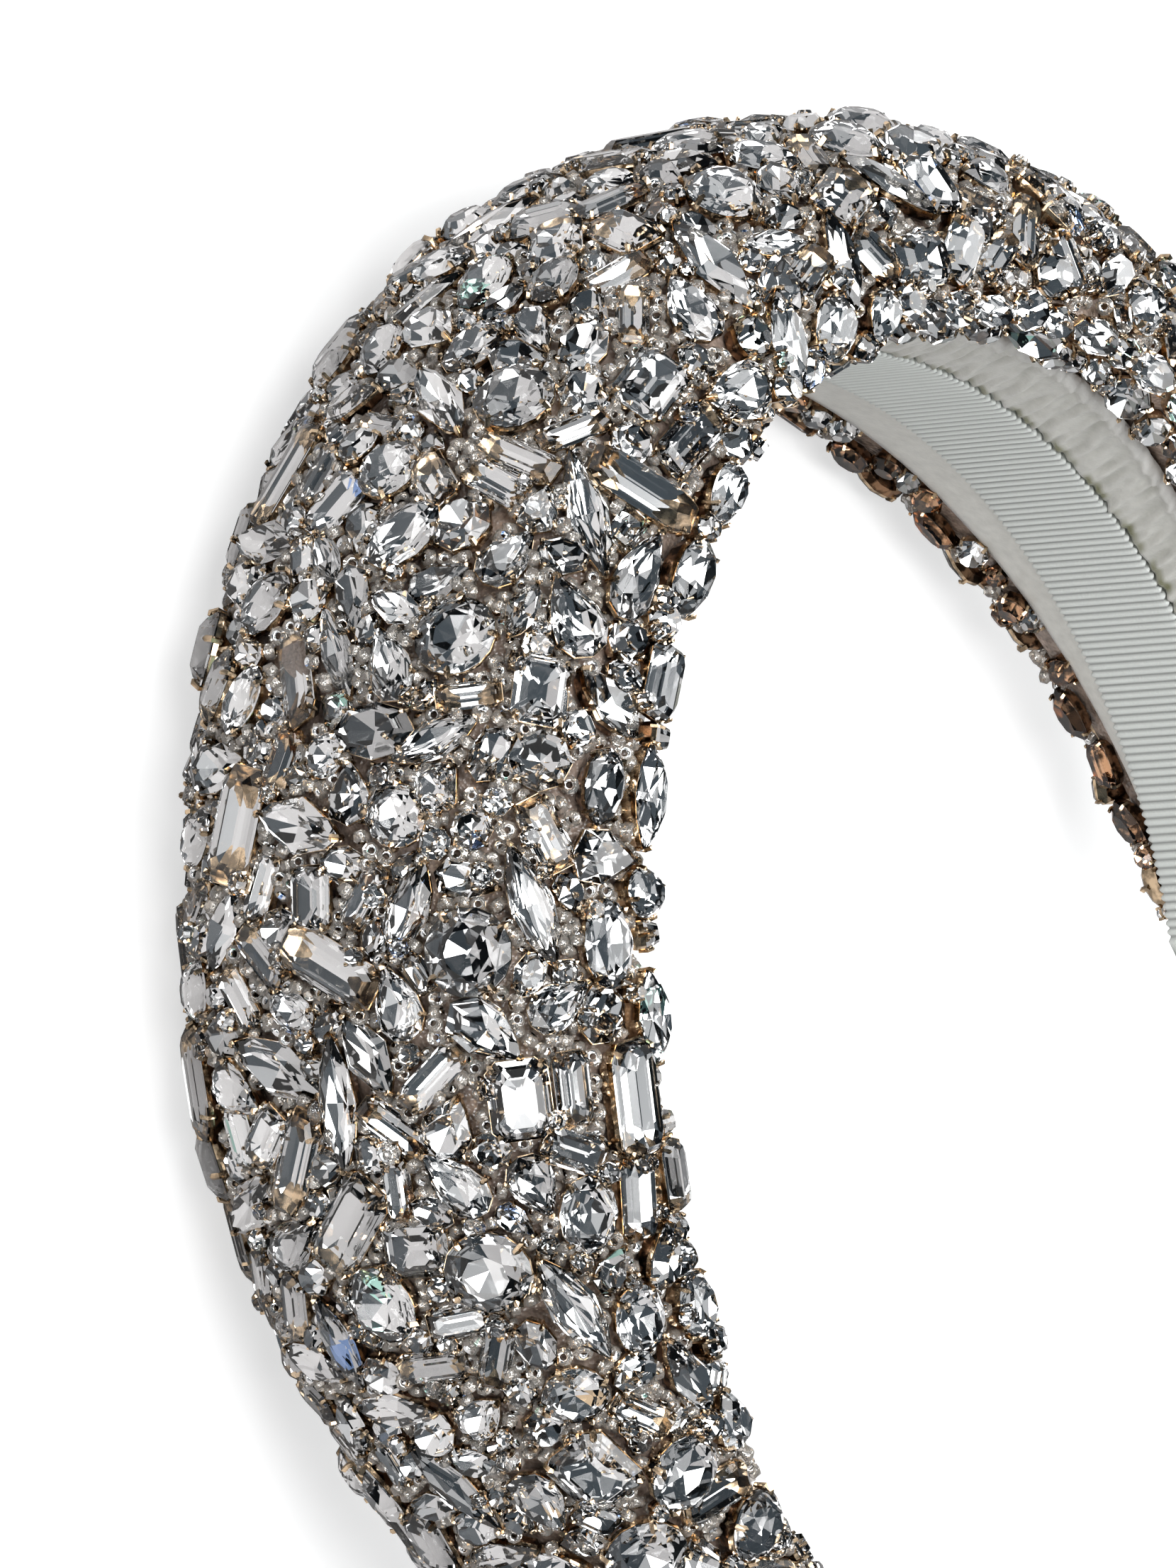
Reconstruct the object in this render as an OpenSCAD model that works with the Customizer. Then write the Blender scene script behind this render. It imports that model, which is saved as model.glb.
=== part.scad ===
// Padded headband set all over with cut stones in claw settings.
// It is shaped as it is worn: X across the head, Y to the back of the head, Z up to the crown.
// Then it is laid on its back edge with the crown towards +Y, as it rests on a table.
// A place on the band is two angles: phi along it from the crown, negative on the left arm,
// and girth round its section: 0 the back edge, 90 the outer face, 180 the front edge.
// A level is a height over the face of the inner band.

/* [Head opening] */
// Half of the opening's width
head_half_w = 66; // [62:1:70]
// Rise from the opening's widest line to the crown
head_rise = 73; // [68:1:78]
// Angle from the crown to each end of the padding
pad_end = 124; // [120:1:126]
// Angle from the crown to each tip of the inner band
band_end = 131; // [128:1:134]

/* [Padding] */
// Width of the padding over the crown
pad_w = 48.4; // [45:0.2:51]
// Width of the padding at its ends
pad_end_w = 17; // [16:1:20]
// How much further the crown's padding reaches to the front than to the back
front_more = 2; // [0:0.1:2.4]
// Level of the outer face over the crown
pad_t = 23.2; // [21:0.2:24.6]
// Level of the outer face at the ends
pad_end_t = 9; // [8:0.5:11]
// Level of the padding's widest line
pad_edge = 4.6; // [4.2:0.1:5]
// Level of the padding's inner face
pad_floor = 3; // [2.9:0.1:3.4]
// Angle from the crown at which the padding starts to narrow
taper_from = 55; // [50:1:60]

/* [Lining and inner band] */
// Thickness of the lining
lining_t = 1; // [0.8:0.1:1]
// Share of the padding's half width that the lining covers towards the back
lining_back = 0.75; // [0.62:0.01:0.77]
// Share of the padding's half width that the lining covers towards the front
lining_front = 0.76; // [0.7:0.01:0.8]
// Width of the inner band with its ribbon
band_w = 15.4; // [14:0.2:16]
// Thickness of the inner band with its ribbon
band_t = 1.6; // [1.2:0.1:1.6]
// Gap that keeps the layers apart
layer_gap = 0.2; // [0.2:0.05:0.3]

/* [Stones] */
// Stones of the chart that are pieces of their own
main_count = 40; // [30:1:40]
// Loose stones laid out by rule between the charted ones, at most
scattered = 134; // [60:1:134]
// Gap under each setting
seat_gap = 0.3; // [0.3:0.05:0.5]
// Least gap round a scattered stone
stone_gap = 1.2; // [0.4:0.1:3]
// Height of every setting before its stone's width counts
stone_base_h = 1.4; // [1:0.1:1.8]
// Height added for each millimetre of a stone's width
stone_h_per_w = 0.31; // [0.15:0.01:0.34]
// Height added to the stones along the front edge
front_stone_h = 1.2; // [0:0.1:1.4]

/* [Rest] */
// Lean that lifts the crown when the band lies on its back edge
lean = 2; // [0:0.1:8]

/* [Hidden] */
KIND = 0;
PHI = 1;
GIRTH = 2;
TURN = 3;
LENGTH = 4;
WIDTH = 5;
// Stones charted from the crown and the left arm.
// TURN runs from the band's length towards the front edge, and a pear's tip points along it.
CHART = [
    // kind, phi, girth, turn, length, width
    ["round",    -67, 123,    0,  9.0, 9.0],
    ["step",     -83, 133,  -20,  9.2, 7.6],
    ["step",     -56, 139,    0,  8.6, 6.6],
    ["step",     -56, 154,    0,  8.2, 4.0],
    ["step",     -65, 168,    5,  9.6, 4.4],
    ["step",     -81, 153,  -38,  8.0, 3.5],
    ["step",     -73, 118,   25,  7.6, 3.5],
    ["navette",  -82,  92,  -28, 14.0, 4.8],
    ["navette",  -55,  94,    4, 15.0, 5.0],
    ["pear",     -61, 119,  -42,  9.2, 5.2],
    ["navette",  -71, 143,  -20, 14.6, 5.2],
    ["oval",     -65, 153,   10,  8.5, 6.4],
    ["oval",     -74, 161,    0,  8.0, 6.2],
    ["round",    -87, 157,    0,  8.5, 8.5],
    ["round",    -46, 130,    0,  9.2, 9.2],
    ["navette",  -43, 147,  -20, 14.0, 4.8],
    ["pear",     -50, 153,   60,  7.8, 5.0],
    ["step",     -38, 151,  -30,  8.2, 4.2],
    ["step",     -28, 146,    0,  7.6, 6.0],
    ["pear",     -22, 151,  -40,  9.4, 6.2],
    ["navette",  -14, 147,  -33, 15.0, 4.6],
    ["pear",     -19, 130,   25,  8.4, 5.2],
    ["round",    -25, 122,    0,  8.6, 8.6],
    ["navette",  -32, 120,   60, 10.4, 4.6],
    ["navette",  -43, 115,   25, 11.0, 5.0],
    ["step",     -42, 104,   38,  8.0, 3.2],
    ["step",     -42,  92,    0,  7.0, 5.2],
    ["pear",     -49, 111,  -15,  8.4, 5.6],
    ["step",     -54, 117,   50,  8.4, 3.5],
    ["step",     -33,  84,   20,  7.6, 3.6],
    ["oval",     -18, 103,   45,  9.4, 6.4],
    ["round",     -7, 118,    0,  8.8, 8.8],
    ["step",      -8, 135,   42,  8.4, 3.2],
    ["step",      -2, 148,    5,  8.4, 6.4],
    ["pear",       6, 145,  -60,  9.0, 6.2],
    ["step",      -4, 165,   10,  9.6, 5.0],
    ["pear",       3, 169, -150,  9.4, 6.6],
    ["pear",     -17, 166,   10, 11.6, 5.6],
    ["round",     18, 126,    0,  9.0, 9.0],
    ["round",    -91, 135,    0,  9.0, 9.0],
    ["round",    -77, 136,    0,  7.0, 7.0],
    ["step",     -61, 104,    5,  7.0, 3.4],
    ["step",     -73, 100,   88,  8.6, 3.6],
    ["pear",     -84, 114,  170,  9.0, 6.0],
    ["pear",     -77, 108,   60,  6.4, 5.0],
    ["pear",     -62, 139,  160,  7.4, 5.2],
    ["pear",     -64,  75,   60, 10.0, 5.2],
    ["round",    -96, 171,    0,  8.0, 8.0],
    ["round",    -37, 112,    0,  6.8, 6.8],
    ["oval",     -46, 169,    0,  9.6, 6.0],
    ["oval",     -34, 167,    5,  8.4, 5.0],
    ["oval",     -22,  72,   70,  8.4, 7.0],
    ["navette",  -26,  93,  -28, 12.0, 3.8],
    ["pear",     -27, 106,  -25,  9.0, 5.2],
    ["round",    -13,  94,    0,  7.4, 7.4],
    ["step",       3, 133,  -27,  8.2, 3.6],
    ["oval",       4,  92,  -10,  9.6, 6.0],
    ["oval",       4, 109,  -15,  8.8, 5.4],
    ["round",     33, 124,    0,  8.0, 8.0],
    ["step",      26, 145,  -20,  9.0, 6.2],
    ["oval",      -5, 182,    0,  8.2, 5.4],
    ["oval",     -14, 182,    0,  9.6, 6.0],
    ["step",     -24, 182,    0,  8.4, 5.0],
    ["navette",  -34, 182,    0, 11.4, 5.0],
    ["round",    -42, 181,    0,  5.4, 5.4],
    ["navette",  -52, 182,    0, 10.0, 5.0],
    ["step",     -65, 183,    0,  7.8, 3.6],
    ["oval",     -76, 181,    0,  8.0, 5.4],
    ["pear",     -87, 181,    0,  8.6, 4.8],
];
// Sizes that the scattered stones are drawn from, larger ones first
ASSORTMENT = [
    // kind, share, length, width
    ["round",   0.10,  8.4, 8.4],
    ["step",    0.10,  8.0, 6.0],
    ["navette", 0.18, 11.6, 4.8],
    ["pear",    0.18,  8.8, 5.8],
    ["oval",    0.16,  8.2, 5.8],
    ["round",   0.10,  6.6, 6.6],
    ["step",    0.18,  7.8, 3.6],
];
// The charted left arm is repeated on the right arm from this angle on, by a half turn
repeat_from = 31;
// Girth angles that scattered stones keep between
scatter_lo = 0;
scatter_hi = 180;
// Angle from the crown that scattered stones keep within
scatter_end = 121;
// Places tried for scattered stones
scatter_tries = 2600;
// Share of the tries after which stones are drawn at their smaller size
late_from = 0.45;
late_scale = 0.76;
// Irrational steps of the sequences that give each try its place, kind and turn
phi_step = 0.7548777;
girth_step = 0.5698403;
kind_step = 0.6180340;
turn_step = 0.4142136;
// Stones further apart along the band than this can't touch
reach_angle = 14;
// Fineness of the padding's mesh along the band, and angles round its section
pad_stations = 40;
PAD_GIRTHS = [
    0, 15, 30, 45, 60, 75, 90, 105, 120, 135, 150, 165, 180,
    205, 230, 250, 270, 290, 310, 335
];
// Rounding of the padding's ends: degrees past the end and share of the section left
END_ROUND = [[1.2, 0.86], [2.0, 0.55]];
// Superellipse exponents of the section, and of its two tapers
side_pow = 0.85;
top_pow = 0.9;
floor_pow = 0.6;
// How narrowly the taller stones keep to the front edge
front_pow = 8;
width_taper_pow = 1.35;
level_taper_pow = 3;
// Half of the angle between points compared for a surface direction
probe = 1.5;
// Heights of a setting's girdle, and the sizes of its foot and table
girdle_at = 0.5;
foot_share = 0.8;
table_share = 0.6;
step_table_share = 0.72;
// Middle of the band's reach from the crown's stones to the tips of the inner band
crown_stone_h = 3.5;
middle_z = (head_rise + pad_t + crown_stone_h + (head_rise + 0.55 * band_t) * cos(band_end)) / 2;
// The arms touch the table at this angle, on stones of this height over the padding
rest_at = 68;
rest_stone_h = 4.44;

stone_names = [for (i = [0 : main_count - 1]) str("stone_", i < 9 ? "0" : "", i + 1)];

function frac(x) = x - floor(x);
function signed_pow(x, p) = sign(x) * pow(abs(x), p);
function taper(phi) = max(0, (abs(phi) - taper_from) / (pad_end - taper_from));
function width_at(phi) = pad_w - (pad_w - pad_end_w) * pow(taper(phi), width_taper_pow);
function level_at(phi) = pad_t - (pad_t - pad_end_t) * pow(taper(phi), level_taper_pow);

// Point at a level over the inner band's face and at y across the band
function band_point(phi, y, level) =
    let (
        n = [head_rise * sin(phi), head_half_w * cos(phi)] / norm([head_rise * sin(phi), head_half_w * cos(phi)])
    )
    [head_half_w * sin(phi) + n[0] * level, y, head_rise * cos(phi) + n[1] * level];

// Half of the padding's width on the side of y, negative to the front
function half_at(phi, y) = width_at(phi) / 2 + (y < 0 ? front_more * max(0, 1 - taper(phi)) : 0);

// Across and level of the padding's skin at a girth angle
function skin_y(phi, girth, size = 1) = size * half_at(phi, cos(girth)) * signed_pow(cos(girth), side_pow);
function skin_level(phi, girth, size = 1) =
    sin(girth) >= 0
        ? pad_edge + size * (level_at(phi) - pad_edge) * pow(sin(girth), top_pow)
        : pad_edge - size * (pad_edge - pad_floor) * pow(-sin(girth), floor_pow);
function skin(phi, girth, size = 1) = band_point(phi, skin_y(phi, girth, size), skin_level(phi, girth, size));

// Rings of points joined into one closed solid, each ring in the same order
module loft(rings) {
    n = len(rings[0]);
    last = len(rings) - 1;
    polyhedron(
        points = [for (ring = rings) for (p = ring) p],
        faces = concat(
            [[for (j = [0 : n - 1]) j]],
            [for (i = [0 : last - 1]) for (j = [0 : n - 1])
                [i * n + j, (i + 1) * n + j, (i + 1) * n + (j + 1) % n, i * n + (j + 1) % n]],
            [[for (j = [n - 1 : -1 : 0]) last * n + j]]
        ),
        convexity = 8
    );
}

// Lays what is shaped as worn on its back edge
module laid_down() {
    lift = (width_at(rest_at) / 2 + rest_stone_h) * cos(lean)
        - (head_rise + pad_edge) * cos(rest_at) * sin(lean);
    translate([0, -middle_z * cos(lean), lift])
        rotate([-90 + lean, 0, 0])
            children();
}

module padding() {
    before = [for (i = [len(END_ROUND) - 1 : -1 : 0]) [-pad_end - END_ROUND[i][0], END_ROUND[i][1]]];
    middle = [for (i = [0 : pad_stations]) [-pad_end + 2 * pad_end * i / pad_stations, 1]];
    after = [for (r = END_ROUND) [pad_end + r[0], r[1]]];
    color("tan")
        laid_down()
            loft([for (s = concat(before, middle, after)) [for (g = PAD_GIRTHS) skin(s[0], g, s[1])]]);
}

// Strip of satin over the padding's inner face, under the inner band
module lining() {
    front = 180 + acos(pow(lining_front, 1 / side_pow));
    back = 360 - acos(pow(lining_back, 1 / side_pow));
    across = [for (i = [0 : 5]) front + (back - front) * i / 5];
    color("silver")
        laid_down()
            loft([for (i = [0 : pad_stations])
                let (phi = (pad_end - 1) * (2 * i / pad_stations - 1))
                concat(
                    [for (g = across)
                        band_point(phi, skin_y(phi, g), skin_level(phi, g) - layer_gap - lining_t)],
                    [for (k = [5 : -1 : 0])
                        band_point(phi, skin_y(phi, across[k]), skin_level(phi, across[k]) - layer_gap)]
                )]);
}

// Stiff band wrapped in ribbon, with rounded tips that run on past the padding
module ribbon_band() {
    // angle before the tip, share of the width
    tips = [[0, 0.3], [0.8, 0.62], [2.2, 0.86], [4.4, 0.98]];
    bevel = 0.4;
    inner = band_end - 6;
    stations = concat(
        [for (t = tips) [t[0] - band_end, t[1]]],
        [for (i = [0 : pad_stations]) [inner * (2 * i / pad_stations - 1), 1]],
        [for (k = [len(tips) - 1 : -1 : 0]) [band_end - tips[k][0], tips[k][1]]]
    );
    color("lightgray")
        laid_down()
            loft([for (s = stations)
                let (h = s[1] * band_w / 2)
                [for (c = [
                    [h, bevel], [h, band_t - bevel], [h - bevel, band_t], [bevel - h, band_t],
                    [-h, band_t - bevel], [-h, bevel], [bevel - h, 0], [h - bevel, 0]
                ]) band_point(s[0], c[0], c[1])]]);
}

// Outline of a stone of length 2 and width 2, by its cut
function outline(kind) =
    kind == "step" ? [[1, -0.62], [1, 0.62], [0.72, 1], [-0.72, 1], [-1, 0.62], [-1, -0.62], [-0.72, -1], [0.72, -1]]
    : kind == "navette" ? [[1, 0], [0.64, 0.62], [0, 1], [-0.64, 0.62], [-1, 0], [-0.64, -0.62], [0, -1], [0.64, -0.62]]
    : kind == "pear" ? [
        [1, 0], [0.5, 0.55], [-0.05, 0.95], [-0.6, 0.88], [-0.94, 0.38],
        [-0.94, -0.38], [-0.6, -0.88], [-0.05, -0.95], [0.5, -0.55]
    ]
    : [for (i = [0 : 9]) [cos(36 * i), sin(36 * i)]];

// Height of a stone, which grows towards the front edge
function rise(s) =
    stone_base_h + stone_h_per_w * s[WIDTH] + front_stone_h * pow(max(0, -cos(s[GIRTH])), front_pow);

// Seat of a stone on the padding: its middle, its own length, width and outward directions
function seat(s) =
    let (
        along = skin(s[PHI] + probe, s[GIRTH]) - skin(s[PHI] - probe, s[GIRTH]),
        round = skin(s[PHI], s[GIRTH] + probe) - skin(s[PHI], s[GIRTH] - probe),
        up = cross(round, along) / norm(cross(round, along)),
        u = along / norm(along),
        v = cross(u, up),
        lengthwise = cos(s[TURN]) * u + sin(s[TURN]) * v
    )
    [skin(s[PHI], s[GIRTH]), lengthwise, cross(up, lengthwise), up];

// One cut stone fused to its cup: foot, girdle and table
module cut_stone(s) {
    at = seat(s);
    table = s[KIND] == "step" ? step_table_share : table_share;
    // height, size
    levels = [[seat_gap, foot_share], [seat_gap + girdle_at * rise(s), 1], [seat_gap + rise(s), table]];
    loft([for (k = levels) [for (p = outline(s[KIND]))
        at[0] + at[1] * p[0] * k[1] * s[LENGTH] / 2 + at[2] * p[1] * k[1] * s[WIDTH] / 2 + at[3] * k[0]]]);
}

module main_stone(i) {
    color("white")
        laid_down()
            cut_stone(CHART[i]);
}

// A charted stone's twin on the other arm
function twin(s) = [s[KIND], -s[PHI], 180 - s[GIRTH], s[TURN] + 180, s[LENGTH], s[WIDTH]];
function twins() = [for (s = CHART) if (s[PHI] < -repeat_from) twin(s)];

// Discs that stand for a stone's outline when its clearance is tried
function discs(s) =
    let (at = seat(s), r = s[WIDTH] / 2, reach = (s[LENGTH] - s[WIDTH]) / 2)
    reach < 0.6 ? [[at[0], r]] : [for (k = [-1, 0, 1]) [at[0] + at[1] * k * reach, r]];

// Kind and size that a draw between 0 and 1 picks from the assortment
function pick(draw, i = 0) =
    draw < ASSORTMENT[i][1] || i == len(ASSORTMENT) - 1 ? ASSORTMENT[i] : pick(draw - ASSORTMENT[i][1], i + 1);

function scatter_try(i) =
    let (
        a = pick(frac(i * kind_step)),
        size = i < late_from * scatter_tries ? 1 : late_scale
    )
    [
        a[0],
        scatter_end * (2 * frac(i * phi_step) - 1),
        scatter_lo + (scatter_hi - scatter_lo) * frac(i * girth_step),
        180 * frac(i * turn_step),
        a[2] * size,
        a[3] * size
    ];

// Whether a stone on the inner face stays off the lining
function off_lining(s, spots) =
    sin(s[GIRTH]) >= 0
    || min([for (a = spots)
        abs(a[0][1]) - a[1] - (a[0][1] > 0 ? lining_back : lining_front) * half_at(s[PHI], a[0][1])]) > seat_gap;

function is_clear(s, spots, placed) =
    off_lining(s, spots) && len([for (p = placed) if (abs(p[0][PHI] - s[PHI]) < reach_angle)
        for (b = p[1]) for (a = spots) if (norm(a[0] - b[0]) < a[1] + b[1] + stone_gap) 1]) == 0;

// Scattered stones, each taken where it clears all those placed before it
function scatter(placed, start, i = 1) =
    i > scatter_tries || len(placed) - start >= scattered ? [for (k = [start : len(placed) - 1]) placed[k][0]]
    : let (s = scatter_try(i), spots = discs(s))
      scatter(is_clear(s, spots, placed) ? concat(placed, [[s, spots]]) : placed, start, i + 1);

// Stones of one side that aren't pieces of their own: side is -1 for the left arm, 1 for the right
module stone_field(side) {
    charted = concat(CHART, twins());
    rest = concat([for (i = [main_count : len(charted) - 1]) charted[i]],
        scatter([for (s = charted) [s, discs(s)]], len(charted)));
    color("whitesmoke")
        laid_down()
            for (s = rest)
                if (side < 0 ? s[PHI] < 0 : s[PHI] >= 0) cut_stone(s);
}

padding();
lining();
ribbon_band();
for (i = [0 : main_count - 1])
    main_stone(i);
stone_field(-1);  // stone_field_left
stone_field(1);  // stone_field_right
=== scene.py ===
import functools
import math

import bpy
import numpy as np
from bpy.props import FloatProperty, FloatVectorProperty, IntProperty, PointerProperty
from mathutils import Matrix


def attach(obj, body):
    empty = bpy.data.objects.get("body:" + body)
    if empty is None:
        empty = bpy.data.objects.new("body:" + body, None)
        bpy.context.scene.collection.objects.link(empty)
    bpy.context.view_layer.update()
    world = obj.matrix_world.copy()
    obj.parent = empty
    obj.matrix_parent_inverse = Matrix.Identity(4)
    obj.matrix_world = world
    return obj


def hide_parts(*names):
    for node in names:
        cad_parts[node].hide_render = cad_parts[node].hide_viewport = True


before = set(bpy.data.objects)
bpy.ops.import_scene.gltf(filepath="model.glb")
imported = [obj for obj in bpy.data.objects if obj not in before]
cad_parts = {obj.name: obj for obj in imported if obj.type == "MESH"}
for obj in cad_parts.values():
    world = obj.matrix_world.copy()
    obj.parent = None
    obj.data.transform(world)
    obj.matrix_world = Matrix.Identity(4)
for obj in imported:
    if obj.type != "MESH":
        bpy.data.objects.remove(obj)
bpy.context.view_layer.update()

BODY = "root"
MM = 0.001

bl_info = {
    "name": "Padded Crystal Headband",
    "version": (1, 0, 0),
    "blender": (4, 5, 0),
    "location": "View3D > Sidebar > Headband",
    "description": "Dresses the packed headband in cloth, lining, ribbon, claw-set stones and seed beads",
    "category": "Object",
}


# Sizes and colours

def length_prop(label, what, default):
    """A length in metres with the scene's unit."""
    return FloatProperty(name=label, description=what, default=default, min=0.0,
                         unit="LENGTH", subtype="DISTANCE")


def angle_prop(label, what, degrees):
    """An angle, given in degrees and kept in radians."""
    return FloatProperty(name=label, description=what, default=math.radians(degrees),
                         unit="ROTATION", subtype="ANGLE")


def number_prop(label, what, default, unit="NONE"):
    """A plain number, or a length of either sign."""
    return FloatProperty(name=label, description=what, default=default, unit=unit)


def colour_prop(label, what, default):
    """A plain linear colour."""
    return FloatVectorProperty(name=label, description=what, default=default, size=3,
                               min=0.0, max=1.0, subtype="COLOR")


class BandShape(bpy.types.PropertyGroup):
    """The arch and its section, as the frame's solids have them."""
    head_half_w: length_prop("Head half width", "Half of the opening's width", 0.066)
    head_rise: length_prop("Head rise", "Rise from the opening's widest line to the crown", 0.073)
    pad_end: angle_prop("Padding end", "Angle from the crown to each end of the padding", 124)
    band_end: angle_prop("Band end", "Angle from the crown to each tip of the inner band", 131)
    pad_w: length_prop("Padding width", "Width of the padding over the crown", 0.0484)
    pad_end_w: length_prop("End width", "Width of the padding at its ends", 0.017)
    front_more: length_prop("Front reach", "How much further the crown's padding reaches to the front", 0.002)
    pad_t: length_prop("Outer level", "Level of the outer face over the crown", 0.0232)
    pad_end_t: length_prop("End level", "Level of the outer face at the ends", 0.009)
    pad_edge: length_prop("Edge level", "Level of the padding's widest line", 0.0046)
    pad_floor: length_prop("Inner level", "Level of the padding's inner face", 0.003)
    taper_from: angle_prop("Taper from", "Angle at which the padding starts to narrow", 55)
    lining_back: number_prop("Lining to the back", "Share of the half width lined", 0.75)
    lining_front: number_prop("Lining to the front", "Share of the half width lined", 0.76)
    band_w: length_prop("Ribbon width", "Width of the inner band with its ribbon", 0.0154)
    band_t: length_prop("Ribbon thickness", "Thickness of the inner band with its ribbon", 0.0016)
    lean: angle_prop("Lean", "Lean that lifts the crown when the band lies on its back edge", 2)
    rest_at: angle_prop("Rest angle", "Angle along the arms where they touch the table", 68)
    rest_stone_h: length_prop("Rest stones", "Height of the stones that touch the table", 0.00444)
    front_stone_h: length_prop("Front stones", "Height added to the stones along the front edge", 0.0012)
    crown_stone_h: length_prop("Crown stones", "Height of the stones over the crown", 0.0035)


class ClothLook(bpy.types.PropertyGroup):
    """Padding cloth, satin lining and grosgrain ribbon."""
    net_colour: colour_prop("Net", "Nude net and glue over the foam", (0.29, 0.225, 0.185))
    satin_colour: colour_prop("Satin", "Lining satin", (0.50, 0.495, 0.46))
    ribbon_colour: colour_prop("Ribbon", "Grosgrain ribbon", (0.63, 0.655, 0.63))
    glue_colour: colour_prop("Glue", "Glue along the ribbon's front edge", (0.13, 0.13, 0.055))
    edge_colour: colour_prop("Lining edge", "Rolled edge of the lining", (0.55, 0.54, 0.52))
    rib_pitch: length_prop("Rib pitch", "Distance between the ribbon's ribs", 0.001)
    rib_depth: length_prop("Rib depth", "Depth of the grooves between ribs", 0.00026)
    picot_depth: length_prop("Picot depth", "How far the ribbon's edge loops stand out", 0.00055)
    gather_depth: length_prop("Gather depth", "Depth of the lining's gathers", 0.00022)
    gather_slant: number_prop("Gather slant", "Move along the band for each way across", 0.4)
    bulge: length_prop("Bulge", "How far the lining swells beside the ribbon", 0.0015)
    edge_roll: length_prop("Edge roll", "How far the lining's front edge is rolled up", 0.0006)


class StoneLook(bpy.types.PropertyGroup):
    """Cut stones, claw cups and seed beads."""
    foil_colour: colour_prop("Foil", "Silver foil behind the stones", (0.93, 0.93, 0.93))
    metal_colour: colour_prop("Metal", "Pale gold of the claw cups", (0.86, 0.65, 0.43))
    bead_colour: colour_prop("Beads", "Glass of the seed beads", (0.93, 0.88, 0.81))
    back_colour: colour_prop("Back", "Copper lacquer behind the stones' foil", (0.26, 0.15, 0.085))
    tilt: angle_prop("Tilt", "Usual tilt of a sewn stone", 7)
    base_rise: length_prop("Base rise", "Height of a setting before its stone's width counts", 0.0014)
    rise_share: number_prop("Rise share", "Height added per width of the stone", 0.31)
    least_stone: length_prop("Least stone", "Room that takes a cut stone", 0.0012)
    least_gap: length_prop("Least gap", "Room that takes a seed bead", 0.0001)
    squeeze: length_prop("Squeeze", "How far a seed bead pushes under its neighbours", 0.0009)
    bead: length_prop("Bead", "Radius of the largest seed beads", 0.00115)
    seed: IntProperty(name="Seed", description="Seed of the filling's random draws", default=11)


class StudioSetup(bpy.types.PropertyGroup):
    """Camera, lights and floor."""
    azimuth: angle_prop("Azimuth", "Camera's angle round the worn band", -43.57)
    elevation: angle_prop("Elevation", "Camera's height over the worn band", 30.16)
    roll: angle_prop("Roll", "Turn of the picture", -31.90)
    distance: length_prop("Distance", "Camera's distance from the middle of the opening", 1.442)
    aside: number_prop("Aside", "Camera's move to its right", -0.02966, "LENGTH")
    upward: number_prop("Upward", "Camera's move upwards", 0.02304, "LENGTH")
    focal: number_prop("Lens", "Focal length on a 36 mm side, in millimetres", 301.2)
    floor_colour: colour_prop("Floor", "Pale studio floor", (0.6, 0.6, 0.6))
    floor_glow: number_prop("Floor glow", "Light of the floor's own, for the camera", 0.55)
    bounce_colour: colour_prop("Bounce", "Floor as the stones mirror it", (0.52, 0.505, 0.50))
    room: number_prop("Room", "Radiance of the dim room", 0.095)
    key: number_prop("Key", "Radiance of the main softbox", 7.2)


def shape():
    """The band's sizes."""
    return bpy.context.scene.headband_shape


def cloth():
    """The cloths' sizes and colours."""
    return bpy.context.scene.headband_cloth


def stones():
    """The stones' and beads' sizes and colours."""
    return bpy.context.scene.headband_stones


# Form of the band, in the worn frame: X across, Y to the back, Z up to the crown

# Powers of the section's rounding: across it, outside its widest line and inside it
SIDE_POWER, OUTER_POWER, INNER_POWER = 0.85, 0.9, 0.6
# Powers of the taper in the padding's width and in its outer level
WIDTH_TAPER, LEVEL_TAPER = 1.35, 3
# Level of the inner band's lowest point at its tips, as a share of its thickness
TIP_LEVEL = 0.55
# Angle to either side of a place over which the skin's directions are measured
PROBE = math.radians(1.5)
# Least length that anything is divided by
TINY = 1e-12


def signed_pow(value, power):
    """A value's size to a power, with the value's own sign."""
    return np.sign(value) * np.abs(value) ** power


def taper(phi):
    """How far an angle is on its way from where the padding starts to narrow, 0, to its end, 1."""
    s = shape()
    return np.clip((np.abs(phi) - s.taper_from) / (s.pad_end - s.taper_from), 0.0, None)


def pad_width(phi):
    """Width over the crown less what it narrows by, which goes as the taper to the power 1.35."""
    s = shape()
    return s.pad_w - (s.pad_w - s.pad_end_w) * taper(phi) ** WIDTH_TAPER


def half_width(phi, side):
    """Half of the padding's width, which is larger on the front side, where side is negative."""
    return pad_width(phi) / 2 + np.where(side < 0, shape().front_more * np.maximum(0, 1 - taper(phi)), 0.0)


def pad_level(phi):
    """Outer level over the crown less what it falls by, which goes as the taper cubed."""
    s = shape()
    return s.pad_t - (s.pad_t - s.pad_end_t) * taper(phi) ** LEVEL_TAPER


def band_point(phi, across, level):
    """Ellipse point at angle phi, moved along its outward normal by level and along Y by across."""
    s = shape()
    nx, nz = s.head_rise * np.sin(phi), s.head_half_w * np.cos(phi)
    size = np.hypot(nx, nz)
    x = s.head_half_w * np.sin(phi) + nx / size * level
    z = s.head_rise * np.cos(phi) + nz / size * level
    return np.stack(np.broadcast_arrays(x, across, z), axis=-1)


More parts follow.
